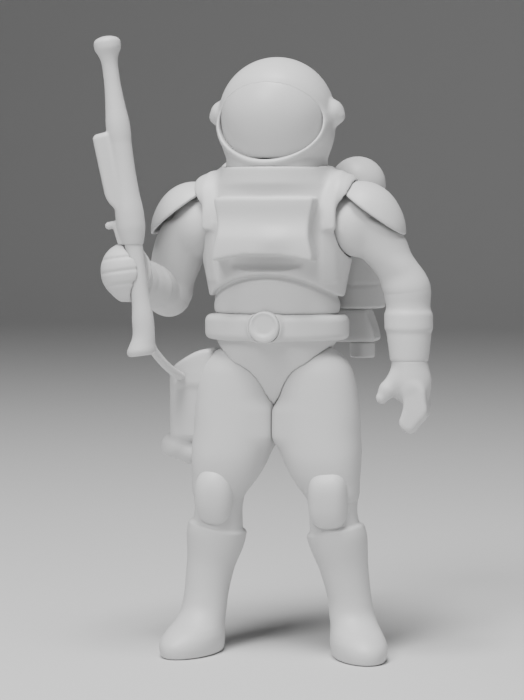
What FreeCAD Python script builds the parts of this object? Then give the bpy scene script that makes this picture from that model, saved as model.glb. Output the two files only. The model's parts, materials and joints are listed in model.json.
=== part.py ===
"""A jointed space-trooper action figure with a rifle, a hip canister and a jet pack.

Millimetres. +Z is up, the soles stand on Z = 0, the figure faces -Y and its right side is at -X.
The origin lies on the floor under the body's own centre line.
"""

import FreeCAD, Part
import math
import os
import re
import Sketcher

SIDES = {"right": -1, "left": 1}

# Driving sizes, in millimetres and degrees. Other sizes are worked out from these in expressions.
SIZES = {
    "gap": 0.3,  # between pieces that move past each other
    "fit": 0.05,  # radial clearance of a running pin
    "head_z": 134.2,
    "head_radius": 14.6,
    "head_wall": 1.7,
    "visor_half_width": 13.3,
    "visor_half_height": 9.2,
    "rim_width": 1.2,
    "rim_height": 0.6,
    "pod_radius": 3.6,
    "pod_reach": 17.1,
    "helmet_base_z": 120.9,
    "collar_radius": 12.7,
    "collar_base_z": 118.4,
    "neck_radius": 4.0,
    "waist_radius": 5.0,
    "torso_base_z": 85.6,
    "cavity_radius": 8.0,
    "vest_arch_z": 68.9,
    "vest_arch_radius": 26.3,
    "strap_inner_x": 13.2,
    "strap_outer_x": 16.8,
    "strap_z": 106.0,
    "chest_half_width": 12.6,
    "chest_lip_z": 55.6,
    "chest_lip_radius": 45.0,
    "shoulder_x": 21.4,
    "shoulder_z": 108.6,
    "shoulder_radius": 7.7,
    "shoulder_barrel": 8.6,
    "pauldron_radius": 9.4,
    "pauldron_tilt": 56.0,
    "pauldron_cut_tilt": 36.0,
    "pauldron_cut_x": 26.15,
    "pauldron_cut_z": 109.0,
    "pauldron_inner_x": 16.8,
    "peg_radius": 1.8,
    "elbow_radius": 5.9,
    "elbow_pin_radius": 1.0,
    "elbow_pin_length": 9.2,
    "elbow_tongue": 4.0,
    "tongue_gap": 0.15,  # on each face of a hinge's tongue
    "right_elbow_x": 28.9,
    "right_elbow_y": 2.5,
    "right_elbow_z": 89.7,
    "left_elbow_x": 32.8,
    "left_elbow_y": 1.0,
    "left_elbow_z": 91.2,
    "elbow_mitre": 51.0,
    "arm_inner_x": 19.6,
    "wrist_peg_radius": 1.6,
    "wrist_peg_length": 9.0,
    "left_wrist_x": 33.7,
    "left_wrist_y": -1.0,
    "left_wrist_z": 69.0,
    "right_wrist_x": -32.8,
    "right_wrist_y": -7.6,
    "right_wrist_z": 94.2,
    "fist_x": -33.6,
    "fist_y": -18.5,
    "fist_z": 96.0,
    "pack_x": 1.6,  # the jet pack sits a little to the figure's left
    "tank_x": 15.2,  # from the middle of the jet pack
    "tank_y": 18.0,
    "tank_radius": 7.2,
    "tank_wall": 1.3,
    "tank_base_z": 86.0,
    "tank_height": 31.4,
    "spine_half_width": 8.8,
    "spine_y": 8.0,
    "spine_depth": 13.4,
    "spine_height": 33.0,
    "base_depth": 9.4,
    "base_half_width": 20.6,
    "base_bottom_z": 77.4,
    "nozzle_x": 16.4,
    "nozzle_radius": 3.3,
    "nozzle_height": 4.2,
    "belt_half_depth": 13.1,
    "buckle_radius": 3.9,
    "buckle_z": 82.3,
    "deck_z": 80.0,
    "hip_x": 10.8,
    "hip_y": 0.3,
    "hip_z": 68.3,
    "hip_radius": 8.6,
    "hip_peg_radius": 1.5,
    "hip_barrel": 9.0,
    "barrel_radius": 3.2,
    "knee_x": 14.6,
    "knee_y": -1.6,
    "knee_z": 39.8,
    "knee_radius": 6.6,
    "knee_pin_radius": 1.2,
    "knee_pin_length": 10.4,
    "knee_tongue": 5.0,
    "right_toe_out": 18.0,
    "left_toe_out": 28.0,
    "cuff_tilt": 12.0,
    "sole_peg_radius": 1.5,
    "sole_peg_depth": 4.0,
    "rifle_lean": 7.6,
    "rifle_x": -30.3,
    "rifle_y": -20.0,
    "rifle_z": 96.0,
    "grip_radius": 2.2,
    "grip_half_length": 7.4,
    "hose_radius": 1.05,
    "canister_x": -23.6,
    "canister_y": 0.6,
    "canister_width": 7.2,
    "canister_depth": 10.0,
}

# Level sections of the sculpted pieces, from the bottom up.
# Each row is height, then the section's centre x and y on the left side, then its half width and half depth.
PROFILES = {
    "core": [
        (85.6, 0, 0, 15.9, 10.8),
        (91.0, 0, 0, 15.9, 11.0),
        (97.0, 0, 0, 16.3, 11.3),
        (105.0, 0, 0, 16.8, 11.6),
        (112.0, 0, 0, 16.3, 11.5),
        (115.5, 0, 0, 15.0, 11.4),
        (118.4, 0, 0, 13.4, 11.2),
    ],
    "vest": [
        (90.0, 0, 0, 16.9, 12.3),
        (94.0, 0, 0, 17.8, 12.9),
        (99.0, 0, 0, 18.9, 13.4),
        (104.0, 0, 0, 19.2, 13.6),
        (110.0, 0, 0, 18.6, 13.4),
        (115.0, 0, 0, 16.9, 13.0),
        (118.4, 0, 0, 14.8, 12.5),
    ],
    "belt": [
        (78.7, 0, 0, 17.4, 12.2),
        (79.6, 0, 0, 18.1, 12.9),
        (81.9, 0, 0, 18.3, 13.1),
        (84.2, 0, 0, 18.1, 12.9),
        (85.1, 0, 0, 17.4, 12.2),
    ],
    "column": [
        (60.0, 0, 0, 13.0, 8.2),
        (85.2, 0, 0, 15.6, 10.8),
    ],
    "thigh": [
        (42.5, 13.6, -1.6, 7.2, 6.2),
        (45.5, 12.6, -1.4, 8.6, 7.7),
        (49.0, 11.7, -0.9, 9.6, 8.7),
        (53.0, 11.0, -0.4, 10.1, 9.2),
        (58.0, 10.8, 0.0, 10.1, 9.2),
        (63.0, 10.8, 0.3, 9.4, 8.9),
        (68.3, 10.8, 0.3, 8.3, 8.2),
    ],
    "right_boot": [
        (0.0, 20.0, -7.6, 10.5, 6.0),
        (2.0, 20.0, -7.6, 11.0, 6.6),
        (4.0, 19.9, -7.2, 10.7, 6.7),
        (6.0, 19.5, -6.0, 9.4, 6.3),
        (7.8, 19.0, -4.2, 7.6, 5.9),
        (10.0, 18.5, -2.7, 6.2, 5.7),
        (14.0, 18.0, -1.7, 5.7, 5.6),
        (20.0, 17.2, -0.9, 6.1, 6.0),
        (25.5, 16.2, -0.6, 6.7, 6.6),
        (29.5, 15.6, -0.8, 6.8, 6.7),
        (33.5, 15.0, -1.2, 6.3, 6.2),
        (37.0, 14.7, -1.5, 5.7, 5.6),
        (39.0, 14.6, -1.6, 5.6, 5.5),
    ],
    "left_boot": [
        (0.0, 21.9, -4.2, 10.5, 6.0),
        (2.0, 21.9, -4.2, 11.0, 6.6),
        (4.0, 21.7, -3.9, 10.7, 6.7),
        (6.0, 21.1, -2.9, 9.4, 6.3),
        (7.8, 20.2, -1.2, 7.5, 5.9),
        (10.0, 19.3, 0.2, 6.1, 5.7),
        (14.0, 18.6, 0.7, 5.6, 5.5),
        (20.0, 17.4, 0.5, 6.1, 6.0),
        (25.5, 16.4, 0.0, 6.7, 6.6),
        (29.5, 15.7, -0.5, 6.8, 6.7),
        (33.5, 15.0, -1.1, 6.3, 6.2),
        (37.0, 14.7, -1.5, 5.7, 5.6),
        (39.0, 14.6, -1.6, 5.6, 5.5),
    ],
    "cuff": [
        (27.0, 16.0, -0.4, 7.0, 6.9),
        (28.6, 15.8, -0.5, 7.5, 7.4),
        (30.6, 15.4, -0.8, 7.9, 7.8),
        (31.8, 15.3, -0.9, 7.4, 7.3),
    ],
    "right_arm": [
        (92.2, 28.2, 2.2, 5.0, 4.9),
        (95.0, 27.3, 1.9, 6.0, 5.9),
        (99.0, 26.0, 1.4, 6.9, 6.6),
        (104.0, 24.2, 0.7, 7.2, 6.9),
        (108.6, 21.6, 0.0, 7.2, 7.1),
    ],
    "left_arm": [
        (94.0, 31.4, 0.9, 5.0, 4.9),
        (96.6, 30.0, 0.8, 6.0, 5.9),
        (100.0, 27.3, 0.5, 6.6, 6.4),
        (104.5, 24.9, 0.3, 7.1, 6.9),
        (108.6, 21.6, 0.0, 7.2, 7.1),
    ],
    "left_forearm": [
        (73.7, 33.7, -1.0, 4.7, 4.6),
        (77.0, 33.6, -0.6, 5.1, 5.0),
        (81.0, 33.4, 0.0, 5.4, 5.3),
        (85.0, 33.2, 0.5, 5.4, 5.3),
        (88.2, 33.0, 0.9, 5.0, 4.9),
    ],
    "left_gauntlet": [
        (82.0, 33.3, 0.1, 5.5, 5.4),
        (83.5, 33.2, 0.3, 5.9, 5.8),
        (85.6, 33.1, 0.5, 5.9, 5.8),
        (86.4, 33.1, 0.6, 5.5, 5.4),
    ],
    "right_forearm": [
        (90.6, 29.8, -1.0, 5.0, 4.9),
        (91.7, 30.7, -4.5, 5.4, 5.3),
        (93.0, 31.7, -8.5, 5.3, 5.2),
        (94.2, 32.8, -12.3, 4.7, 4.6),
    ],
    "right_gauntlet": [
        (92.3, 31.0, -6.2, 5.5, 5.4),
        (92.7, 31.2, -7.4, 5.9, 5.8),
        (93.2, 31.6, -9.2, 5.9, 5.8),
        (93.5, 31.8, -10.2, 5.5, 5.4),
    ],
    "left_palm": [
        (56.3, 33.9, -3.1, 1.8, 1.4),
        (57.4, 34.1, -3.0, 3.2, 2.3),
        (60.0, 35.2, -2.6, 3.9, 2.9),
        (63.5, 35.4, -2.2, 4.0, 3.2),
        (67.0, 34.8, -1.6, 4.8, 3.6),
        (70.0, 34.2, -1.2, 5.3, 4.0),
        (73.4, 33.8, -1.0, 4.8, 4.3),
    ],
    "left_thumb": [
        (63.9, 27.2, -4.1, 1.2, 1.1),
        (65.2, 27.6, -3.9, 1.9, 1.8),
        (68.0, 29.0, -3.2, 2.2, 2.0),
        (71.0, 31.3, -2.2, 2.4, 2.1),
    ],
}

doc = FreeCAD.newDocument("ActionFigure")
nodes = []


def make_sheet():
    """The spreadsheet that holds every driving size."""
    sheet = doc.addObject("Spreadsheet::Sheet", "Dims")
    values = dict(SIZES)
    for name, rows in PROFILES.items():
        for index, row in enumerate(rows):
            values.update(zip(row_names(name, index), row))
    for row, (alias, value) in enumerate(values.items(), start=1):
        sheet.set(f"A{row}", alias)
        sheet.set(f"B{row}", str(value))
        sheet.setAlias(f"B{row}", alias)
    doc.recompute()


def row_names(profile, index):
    """The aliases of one profile row's five cells."""
    return [f"{profile}_{index}_{part}" for part in ("up", "across", "back", "wide", "deep")]


def cells(formula):
    """A formula with each @name turned into the sheet's cell of that name."""
    return re.sub(r"@(\w+)", r"Dims.\1", str(formula))


def bind(thing, **formulas):
    """Bind properties to formulas; MajorRadius comes before MinorRadius because it must stay the larger."""
    for name, formula in formulas.items():
        thing.setExpression(name, cells(formula))
    return thing


def place(thing, where, tilt=None):
    """Bind a position to three formulas, and a turn about an axis to a fourth."""
    if tilt:
        axis, angle = tilt
        thing.Placement = FreeCAD.Placement(FreeCAD.Vector(), FreeCAD.Rotation(FreeCAD.Vector(*axis), 1))
        thing.setExpression("Placement.Rotation.Angle", cells(angle))
    for letter, formula in zip("xyz", where):
        thing.setExpression(f"Placement.Base.{letter}", cells(formula))
    return thing


def solid(kind, name, where=(0, 0, 0), tilt=None, **sizes):
    """One Part primitive, bound to the sheet."""
    return place(bind(doc.addObject(f"Part::{kind}", name), **sizes), where, tilt)


def ball(name, where, radius):
    return solid("Sphere", name, where, Radius=radius)


def egg(name, where, radii, tilt=None):
    """A whole ellipsoid, from its half sizes across, deep and high."""
    across, deep, high = radii
    shape = solid("Ellipsoid", name, where, tilt, Radius1=high, Radius2=across, Radius3=deep)
    shape.Angle1, shape.Angle2, shape.Angle3 = -90, 90, 360
    return shape


def rod(name, where, axis, radius, length):
    """A cylinder from a point along an axis: X, -X, Y, -Y or Z."""
    tilts = {
        "X": ((0, 1, 0), 90),
        "-X": ((0, 1, 0), -90),
        "Y": ((1, 0, 0), -90),
        "-Y": ((1, 0, 0), 90),
        "Z": None,
    }
    return solid("Cylinder", name, where, tilts[axis], Radius=radius, Height=length)


def block(name, low, size, tilt=None):
    return solid("Box", name, low, tilt, Length=size[0], Width=size[1], Height=size[2])


def section(name, where, major, minor, tilt=None):
    """An elliptical section, level unless it is tilted."""
    ring = doc.addObject("Part::Ellipse", name)
    ring.MajorRadius = 100
    return place(bind(ring, MajorRadius=major, MinorRadius=minor), where, tilt)


def loft(name, sections):
    """A smooth solid through elliptical sections, each (where, major, minor) or with a tilt as well."""
    rings = [section(f"{name}_s{index}", *values) for index, values in enumerate(sections)]
    skin = doc.addObject("Part::Loft", name)
    skin.Sections = rings
    skin.Solid = True
    return skin


def sculpt(name, profile, sign=1, grow=0, tilt=None):
    """A loft through a profile's rows, on the left side or mirrored to the right."""
    sections = []
    for index in range(len(PROFILES[profile])):
        up, across, back, wide, deep = (f"@{alias}" for alias in row_names(profile, index))
        sections.append(((f"{sign} * {across}", back, up), f"{wide} + {grow}", f"{deep} + {grow}", tilt))
    return loft(name, sections)


def fuse(name, *shapes):
    joined = doc.addObject("Part::MultiFuse", name)
    joined.Shapes = list(shapes)
    return joined


def overlap(name, *shapes):
    shared = doc.addObject("Part::MultiCommon", name)
    shared.Shapes = list(shapes)
    return shared


def cut(name, base, *tools):
    """The base less every tool."""
    tool = tools[0] if len(tools) == 1 else fuse(f"{name}_tools", *tools)
    result = doc.addObject("Part::Cut", name)
    result.Base = base
    result.Tool = tool
    return result


def node(label, thing):
    """Name a finished sub-part."""
    thing.Label = label
    nodes.append(thing)
    return thing


def sketch_on(body, role):
    """A sketch on one of a body's own origin planes."""
    plane = next(f for f in body.Origin.OriginFeatures if f.Role == role)
    sketch = body.newObject("Sketcher::SketchObject", f"{body.Name}_sketch")
    sketch.AttachmentSupport = [(plane, "")]
    sketch.MapMode = "FlatFace"
    return sketch


def draw_outline(sketch, points):
    """A closed run of straight lines, drawn as a circle's corners and then held in place by formulas."""
    count = len(points)
    turns = [2 * math.pi * index / count for index in range(count)]
    corners = [FreeCAD.Vector(20 + 5 * math.cos(turn), 20 + 5 * math.sin(turn), 0) for turn in turns]
    for index, corner in enumerate(corners):
        sketch.addGeometry(Part.LineSegment(corner, corners[(index + 1) % count]), False)
    for index in range(count):
        sketch.addConstraint(Sketcher.Constraint("Coincident", index, 2, (index + 1) % count, 1))
    for index, (across, up) in enumerate(points):
        for kind, formula in (("DistanceX", across), ("DistanceY", up)):
            start = corners[index].x if kind == "DistanceX" else corners[index].y
            made = sketch.addConstraint(Sketcher.Constraint(kind, -1, 1, index, 1, start))
            sketch.setExpression(f"Constraints[{made}]", cells(formula))


def turned(label, outline, where=(0, 0, 0), tilt=None):
    """A body turned about its own Z axis from an outline of (radius, height) corners."""
    body = doc.addObject("PartDesign::Body", f"{label}_body")
    sketch = sketch_on(body, "XZ_Plane")
    draw_outline(sketch, outline)
    spin = body.newObject("PartDesign::Revolution", f"{label}_turn")
    spin.Profile = sketch
    spin.ReferenceAxis = (sketch, ["V_Axis"])
    spin.Angle = 360
    return place(body, where, tilt)


def padded(label, role, outline, thickness, where=(0, 0, 0), tilt=None):
    """A body padded to both sides of an origin plane."""
    body = doc.addObject("PartDesign::Body", f"{label}_body")
    sketch = sketch_on(body, role)
    draw_outline(sketch, outline)
    pad = body.newObject("PartDesign::Pad", f"{label}_pad")
    pad.Profile = sketch
    pad.Midplane = True
    bind(pad, Length=thickness)
    return place(body, where, tilt)


def rounded(name, base, radius, chosen):
    """A base with its chosen edges rounded."""
    doc.recompute()
    edges = [index for index, edge in enumerate(base.Shape.Edges, start=1) if chosen(edge)]
    result = doc.addObject("Part::Fillet", name)
    result.Base = base
    result.Edges = [(index, radius, radius) for index in edges]
    return result


def make_head():
    """Helmet with its window, the visor and raised rim in the window, and an ear pod each side."""
    middle = (0, 0, "@head_z")
    bell = [
        ("@helmet_base_z", "@head_radius - 2.0"),
        ("@helmet_base_z + 2", "@head_radius - 2.15"),
        ("@helmet_base_z + 5", "@head_radius - 1.4"),
        ("@helmet_base_z + 8", "@head_radius - 0.65"),
        ("@helmet_base_z + 11", "@head_radius - 0.4"),
        ("@helmet_base_z + 15", "@head_radius - 0.45"),
    ]

    def outside(name, grow):
        dome = ball(f"{name}_dome", middle, f"@head_radius + {grow}")
        rings = [((0, 0, height), f"{radius} + {grow}", f"{radius} + {grow}") for height, radius in bell]
        below = block(f"{name}_below", (-20, -20, "@helmet_base_z - 10"), (40, 40, 10))
        return cut(f"{name}_flat", fuse(name, dome, loft(f"{name}_bell", rings)), below)

    def window(name, grow):
        wide, tall = f"@visor_half_width + {grow}", f"@visor_half_height + {grow}"
        ends = [((0, depth, "@head_z + 0.4"), wide, tall, ((1, 0, 0), 90)) for depth in (-2, -20)]
        return loft(name, ends)

    outer = outside("helmet_outer", 0)
    hollow = ball("helmet_hollow", middle, "@head_radius - @head_wall")
    neck_hole = rod("helmet_neck_hole", (0, 0, "@helmet_base_z - 3"), "Z", "@neck_radius + @fit", 8)
    node("helmet_shell", cut("helmet", outer, hollow, window("helmet_window", 0.05), neck_hole))

    face = ball("visor_face", middle, "@head_radius - 0.25")
    glass = cut("visor_glass", face, ball("visor_back", middle, "@head_radius - 1.6"))
    node("visor", overlap("visor_piece", glass, window("visor_edge", 0)))

    band = cut("rim_band", window("rim_outer", "@rim_width"), window("rim_inner", 0.05))
    node("visor_rim", cut("rim", overlap("rim_raised", band, outside("rim_outside", "@rim_height")), outer))

    pod = [
        (0, "@head_radius - 1.5"),
        ("@pod_radius + 0.5", "@head_radius - 1.5"),
        ("@pod_radius", "@pod_reach - 1.6"),
        ("@pod_radius - 0.8", "@pod_reach - 0.3"),
        ("@pod_radius - 1.8", "@pod_reach"),
        (0, "@pod_reach"),
    ]
    for side, sign in SIDES.items():
        cap = turned(f"{side}_pod", pod, (0, 0, "@head_z + 0.9"), ((0, 1, 0), 90 * sign))
        node(f"{side}_ear_pod", cut(f"{side}_pod_cut", cap, outer, outside(f"{side}_pod_rim", "@rim_height")))


def shoulder_centre(sign):
    return (f"{sign} * @shoulder_x", 0, "@shoulder_z")


def make_torso():
    """Two torso halves round the neck and waist posts, with the vest, straps and chest pack over them."""
    post_neck = [
        (0, 110.2),
        (6.5, 110.2),
        (6.5, 111.6),
        ("@neck_radius", 111.6),
        ("@neck_radius", "@helmet_base_z + 2.4"),
        (5.6, "@helmet_base_z + 2.4"),
        (5.6, "@helmet_base_z + 3.7"),
        (0, "@helmet_base_z + 3.7"),
    ]
    neck = node("neck_post", turned("neck_post", post_neck))
    sockets = []
    pegs = []
    for side, sign in SIDES.items():
        sockets.append(ball(f"{side}_shoulder_socket", shoulder_centre(sign), "@pauldron_radius + @gap"))
        axis = "X" if sign > 0 else "-X"
        start = (f"{sign} * @cavity_radius", 0, "@shoulder_z")
        pegs.append(rod(f"{side}_peg_hole", start, axis, "@peg_radius + @fit", 14))
    core = sculpt("core_shape", "core")
    cavity = rod("cavity", (0, 0, "@torso_base_z + 3"), "Z", "@cavity_radius", "111 - @torso_base_z - 3")
    waist_hole = rod("waist_hole", (0, 0, "@torso_base_z - 1"), "Z", "@waist_radius + @fit", 5)
    shell = cut("torso_shell", core, cavity, waist_hole, neck, *sockets, *pegs)
    front = block("front_half", (-40, -40, 60), (80, 40, 80))
    back = block("back_half", (-40, 0, 60), (80, 40, 80))
    node("torso_front", overlap("torso_front_half", shell, front))
    node("torso_back", overlap("torso_back_half", shell, back))

    vest_outer = sculpt("vest_shape", "vest")
    arch = rod("vest_arch", (0, -30, "@vest_arch_z"), "Y", "@vest_arch_radius", 60)
    vest = cut("vest", vest_outer, core, arch, *sockets, *pegs)
    node("vest_front", overlap("vest_front_half", vest, front))
    node("vest_back", overlap("vest_back_half", vest, back))

    collar = [
        (0, "@collar_base_z"),
        ("@collar_radius", "@collar_base_z"),
        ("@collar_radius", "@helmet_base_z - 1.1"),
        ("@collar_radius - 0.8", "@helmet_base_z - @gap"),
        (0, "@helmet_base_z - @gap"),
    ]
    ring = node("collar_ring", cut("collar_cut", turned("collar_ring", collar), neck))

    for side, sign in SIDES.items():
        ends = []
        for edge in ("@strap_inner_x", "@strap_outer_x"):
            ends.append(((f"{sign} * {edge}", 0, "@strap_z"), 15.2, 10.3, ((0, 1, 0), 90)))
        above = block(f"{side}_strap_top", (-40, -40, "@strap_z"), (80, 80, 30))
        band = overlap(f"{side}_strap_band", loft(f"{side}_strap_arch", ends), above)
        node(f"{side}_strap", cut(f"{side}_strap_cut", band, vest_outer, core, ring, *sockets))

    outline = [(-10, 113.9), (-15.7, 113.6), (-17.3, 101.5), (-16.8, 98.6), (-10, 98.6)]
    slab = padded("chest_pack", "YZ_Plane", outline, "2 * @chest_half_width")
    lip = rod("chest_lip", (0, -30, "@chest_lip_z"), "Y", "@chest_lip_radius", 60)
    node("chest_pack", cut("chest_pack_cut", slab, lip, vest_outer))
    return vest_outer, core, ring


def make_jet_pack(wearer):
    """Two domed tanks on a pack body, standing on a base with a nozzle under each tank."""
    tanks = []
    nozzles = []
    nozzle = [
        (0, "@base_bottom_z - @nozzle_height"),
        ("@nozzle_radius", "@base_bottom_z - @nozzle_height"),
        ("@nozzle_radius", "@base_bottom_z"),
        (0, "@base_bottom_z"),
    ]
    for side, sign in SIDES.items():
        base = (f"@pack_x + {sign} * @tank_x", "@tank_y", "@tank_base_z")
        top = (base[0], "@tank_y", "@tank_base_z + @tank_height")
        wall = rod(f"{side}_tank_wall", base, "Z", "@tank_radius", "@tank_height")
        outer = fuse(f"{side}_tank_outer", wall, ball(f"{side}_tank_dome", top, "@tank_radius"))
        bore = rod(f"{side}_tank_bore", base, "Z", "@tank_radius - @tank_wall", "@tank_height")
        dome = ball(f"{side}_tank_hollow", top, "@tank_radius - @tank_wall")
        tanks.append(node(f"{side}_tank", cut(f"{side}_tank_cut", outer, bore, dome)))
        tanks.append(rod(f"{side}_tank_solid", base, "Z", "@tank_radius", "@tank_height"))
        under = (f"@pack_x + {sign} * @nozzle_x", "@tank_y + 0.6", 0)
        nozzles.append(turned(f"{side}_nozzle", nozzle, under))
    node("nozzles", fuse("nozzle_pair", *nozzles))

    spine_size = ("2 * @spine_half_width", "@spine_depth", "@spine_height")
    spine = block("pack_spine", ("@pack_x - @spine_half_width", "@spine_y", "@tank_base_z"), spine_size)
    half = "(@tank_x - @tank_radius - 1.5)"
    inside_size = (f"2 * {half}", "@spine_depth - 7.4", "@spine_height - 4")
    inside = block("pack_hollow", (f"@pack_x - {half}", "@spine_y + 6", "@tank_base_z + 2"), inside_size)
    node("pack_body", cut("pack_body_cut", spine, inside, *wearer, *tanks))

    outline = []
    for side in (-1, 1):
        edge = [
            (f"{side} * (@base_half_width - 0.6)", "@base_bottom_z"),
            (f"{side} * @base_half_width", "@base_bottom_z + 1.8"),
            (f"{side} * (@base_half_width - 2.6)", "@tank_base_z"),
        ]
        outline += edge if side > 0 else edge[::-1]
    middle = ("@pack_x", "@tank_y + @base_depth / 2 - 4", 0)
    node("pack_base", padded("pack_base", "XZ_Plane", outline, "@base_depth", middle))


def make_waist():
    """Pelvis with its deck, the waist post in the deck, the belt round it and the round buckle."""
    outline = [
        (-17, 85.2),
        (17, 85.2),
        (17, 77.6),
        (12, 73.5),
        (7, 68),
        (2.2, 61.7),
        (-2.2, 61.7),
        (-7, 68),
        (-12, 73.5),
        (-17, 77.6),
    ]
    column = sculpt("pelvis_column", "column")
    wedge = overlap("pelvis_wedge", column, padded("pelvis_outline", "XZ_Plane", outline, 60))
    below = block("pelvis_low_block", (-30, -30, 42), (60, 60, 31))
    sweep = rod("pelvis_sweep", (-30, "@hip_y", "@hip_z"), "X", "@hip_radius + 1.4", 60)
    outside = cut("pelvis_low_trim", below, sweep)
    post = [
        (0, "@deck_z"),
        ("@waist_radius", "@deck_z"),
        ("@waist_radius", "@torso_base_z + 3.3"),
        ("@cavity_radius - 0.5", "@torso_base_z + 3.3"),
        ("@cavity_radius - 0.5", "@torso_base_z + 4.6"),
        (0, "@torso_base_z + 4.6"),
    ]
    waist_post = node("waist_post", turned("waist_post", post))
    cuts = [outside, waist_post]
    for side, sign in SIDES.items():
        centre = (f"{sign} * @hip_x", "@hip_y", "@hip_z")
        cuts.append(ball(f"{side}_hip_socket", centre, "@hip_radius + @gap"))
    cuts.append(rod("hip_peg_hole", (-8, "@hip_y", "@hip_z"), "X", "@hip_peg_radius + @fit", 16))
    node("pelvis", cut("pelvis_cut", wedge, *cuts))
    belt = node("belt", cut("belt_cut", sculpt("belt_shape", "belt"), column))
    disc = [
        (0, "@belt_half_depth - 1.5"),
        ("@buckle_radius", "@belt_half_depth - 1.5"),
        ("@buckle_radius", "@belt_half_depth + 0.7"),
        ("@buckle_radius - 0.5", "@belt_half_depth + 1.3"),
        ("@buckle_radius - 1.1", "@belt_half_depth + 1.2"),
        ("@buckle_radius - 1.3", "@belt_half_depth + 0.8"),
        (0, "@belt_half_depth + 1.1"),
    ]
    buckle = turned("belt_buckle", disc, (0, 0, "@buckle_z"), ((1, 0, 0), 90))
    node("belt_buckle", cut("buckle_cut", buckle, belt, column))


def make_joint_piece(label, centre, sign, peg_radius, peg_length, barrel_length):
    """A barrel along Y that the limb turns on, with a peg reaching inward to turn in the body."""
    x, y, z = centre
    start = (x, f"{y} - {barrel_length} / 2", z)
    barrel = rod(f"{label}_barrel", start, "Y", "@barrel_radius", barrel_length)
    peg = rod(f"{label}_peg", (x, y, z), "-X" if sign > 0 else "X", peg_radius, peg_length)
    return node(label, fuse(f"{label}_piece", barrel, peg))


def joint_room(name, centre, sign, peg_radius, reach, barrel_length, rise):
    """The room that a joint piece needs in its limb: the barrel's bore and the slot its peg swings in."""
    x, y, z = centre
    start = (x, f"{y} - {barrel_length} / 2 - @gap", z)
    bore = rod(f"{name}_bore", start, "Y", "@barrel_radius + @fit", f"{barrel_length} + 2 * @gap")
    half = f"({peg_radius} + @gap)"
    low = (f"{x} - ({reach})" if sign > 0 else x, f"{y} - {half}", f"{z} - {half}")
    slot = block(f"{name}_slot", low, (reach, f"2 * {half}", f"{half} + {rise}"))
    return [bore, slot]


def hinge_parts(name, centre, radius, tongue, pin_radius, pin_length):
    """A hinge's pin, the slot for its tongue in the upper piece, and what the lower piece leaves free."""
    x, y, z = centre
    reach = f"({radius} + 2.3)"
    low = (f"{x} - {tongue} / 2", f"{y} - {reach}", f"{z} - {reach}")
    slot_low = (f"{x} - {tongue} / 2 - @tongue_gap", f"{y} - {reach}", f"{z} - {reach}")
    room = ball(f"{name}_room", centre, f"{radius} + @tongue_gap")
    tongue_block = block(f"{name}_tongue_block", low, (tongue, f"2 * {reach}", f"2 * {reach}"))
    wider = f"{tongue} + 2 * @tongue_gap"
    slot_block = block(f"{name}_slot_block", slot_low, (wider, f"2 * {reach}", f"2 * {reach}"))
    pin_start = (f"{x} - {pin_length} / 2", y, z)
    pin = node(f"{name}_pin", rod(f"{name}_pin_rod", pin_start, "X", pin_radius, pin_length))
    pin_hole = rod(f"{name}_pin_hole", (f"{x} - 8", y, z), "X", f"{pin_radius} + @fit", 16)
    slot = overlap(f"{name}_slot", slot_block, room)
    return pin, slot, cut(f"{name}_beside_tongue", room, tongue_block), pin_hole


def make_leg(side, sign):
    """Thigh with its hip joint, and the boot with its cuff and knee pad, hinged at the knee."""
    hip = (f"{sign} * @hip_x", "@hip_y", "@hip_z")
    knee = (f"{sign} * @knee_x", "@knee_y", "@knee_z")
    make_joint_piece(f"{side}_hip_joint", hip, sign, "@hip_peg_radius", "@hip_x - 0.4", "@hip_barrel")

    shape = fuse(
        f"{side}_thigh_shape",
        sculpt(f"{side}_thigh_loft", "thigh", sign),
        ball(f"{side}_thigh_hip", hip, "@hip_radius"),
        ball(f"{side}_thigh_knee", knee, "@knee_radius"),
    )
    pin, slot, beside_tongue, pin_hole = hinge_parts(
        f"{side}_knee", knee, "@knee_radius", "@knee_tongue", "@knee_pin_radius", "@knee_pin_length"
    )
    crotch = rod(f"{side}_crotch_rod", (-7.8, "@hip_y", "@hip_z"), "X", "@hip_radius + 2.1", 15.6)
    crotch_room = cut(f"{side}_crotch_room", crotch, ball(f"{side}_crotch_ball", hip, "@hip_radius"))
    hip_room = joint_room(
        f"{side}_hip_room", hip, sign, "@hip_peg_radius", "@hip_radius + 1", "@hip_barrel", 4.6
    )
    node(f"{side}_thigh", cut(f"{side}_thigh_cut", shape, slot, pin, crotch_room, *hip_room))

    yaw = ((0, 0, 1), f"-90 + {sign} * @{side}_toe_out")
    last = sculpt(f"{side}_boot_loft", f"{side}_boot", sign, tilt=yaw)
    whole = fuse(f"{side}_boot_whole", last, ball(f"{side}_tongue_ball", knee, "@knee_radius"))
    under = (f"{sign} * @{side}_boot_3_across", f"@{side}_boot_3_back", -1)
    sole_hole = rod(f"{side}_sole_hole", under, "Z", "@sole_peg_radius", "@sole_peg_depth + 1")
    node(f"{side}_boot", cut(f"{side}_boot_cut", whole, beside_tongue, pin_hole, sole_hole))

    cuff = sculpt(f"{side}_cuff_loft", "cuff", sign, tilt=((0, 1, 0), f"-1 * {sign} * @cuff_tilt"))
    node(f"{side}_boot_cuff", cut(f"{side}_cuff_cut", cuff, last))
    pad = egg(f"{side}_pad_shape", (knee[0], "@knee_y - 6.1", "@knee_z - 0.2"), (4.5, 3.2, 7))
    thigh_room = sculpt(f"{side}_thigh_room", "thigh", sign, grow="@gap")
    knee_clear = ball(f"{side}_knee_clear", knee, "@knee_radius + @gap")
    node(f"{side}_knee_pad", cut(f"{side}_pad_cut", pad, thigh_room, knee_clear, last))
    return shape


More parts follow.
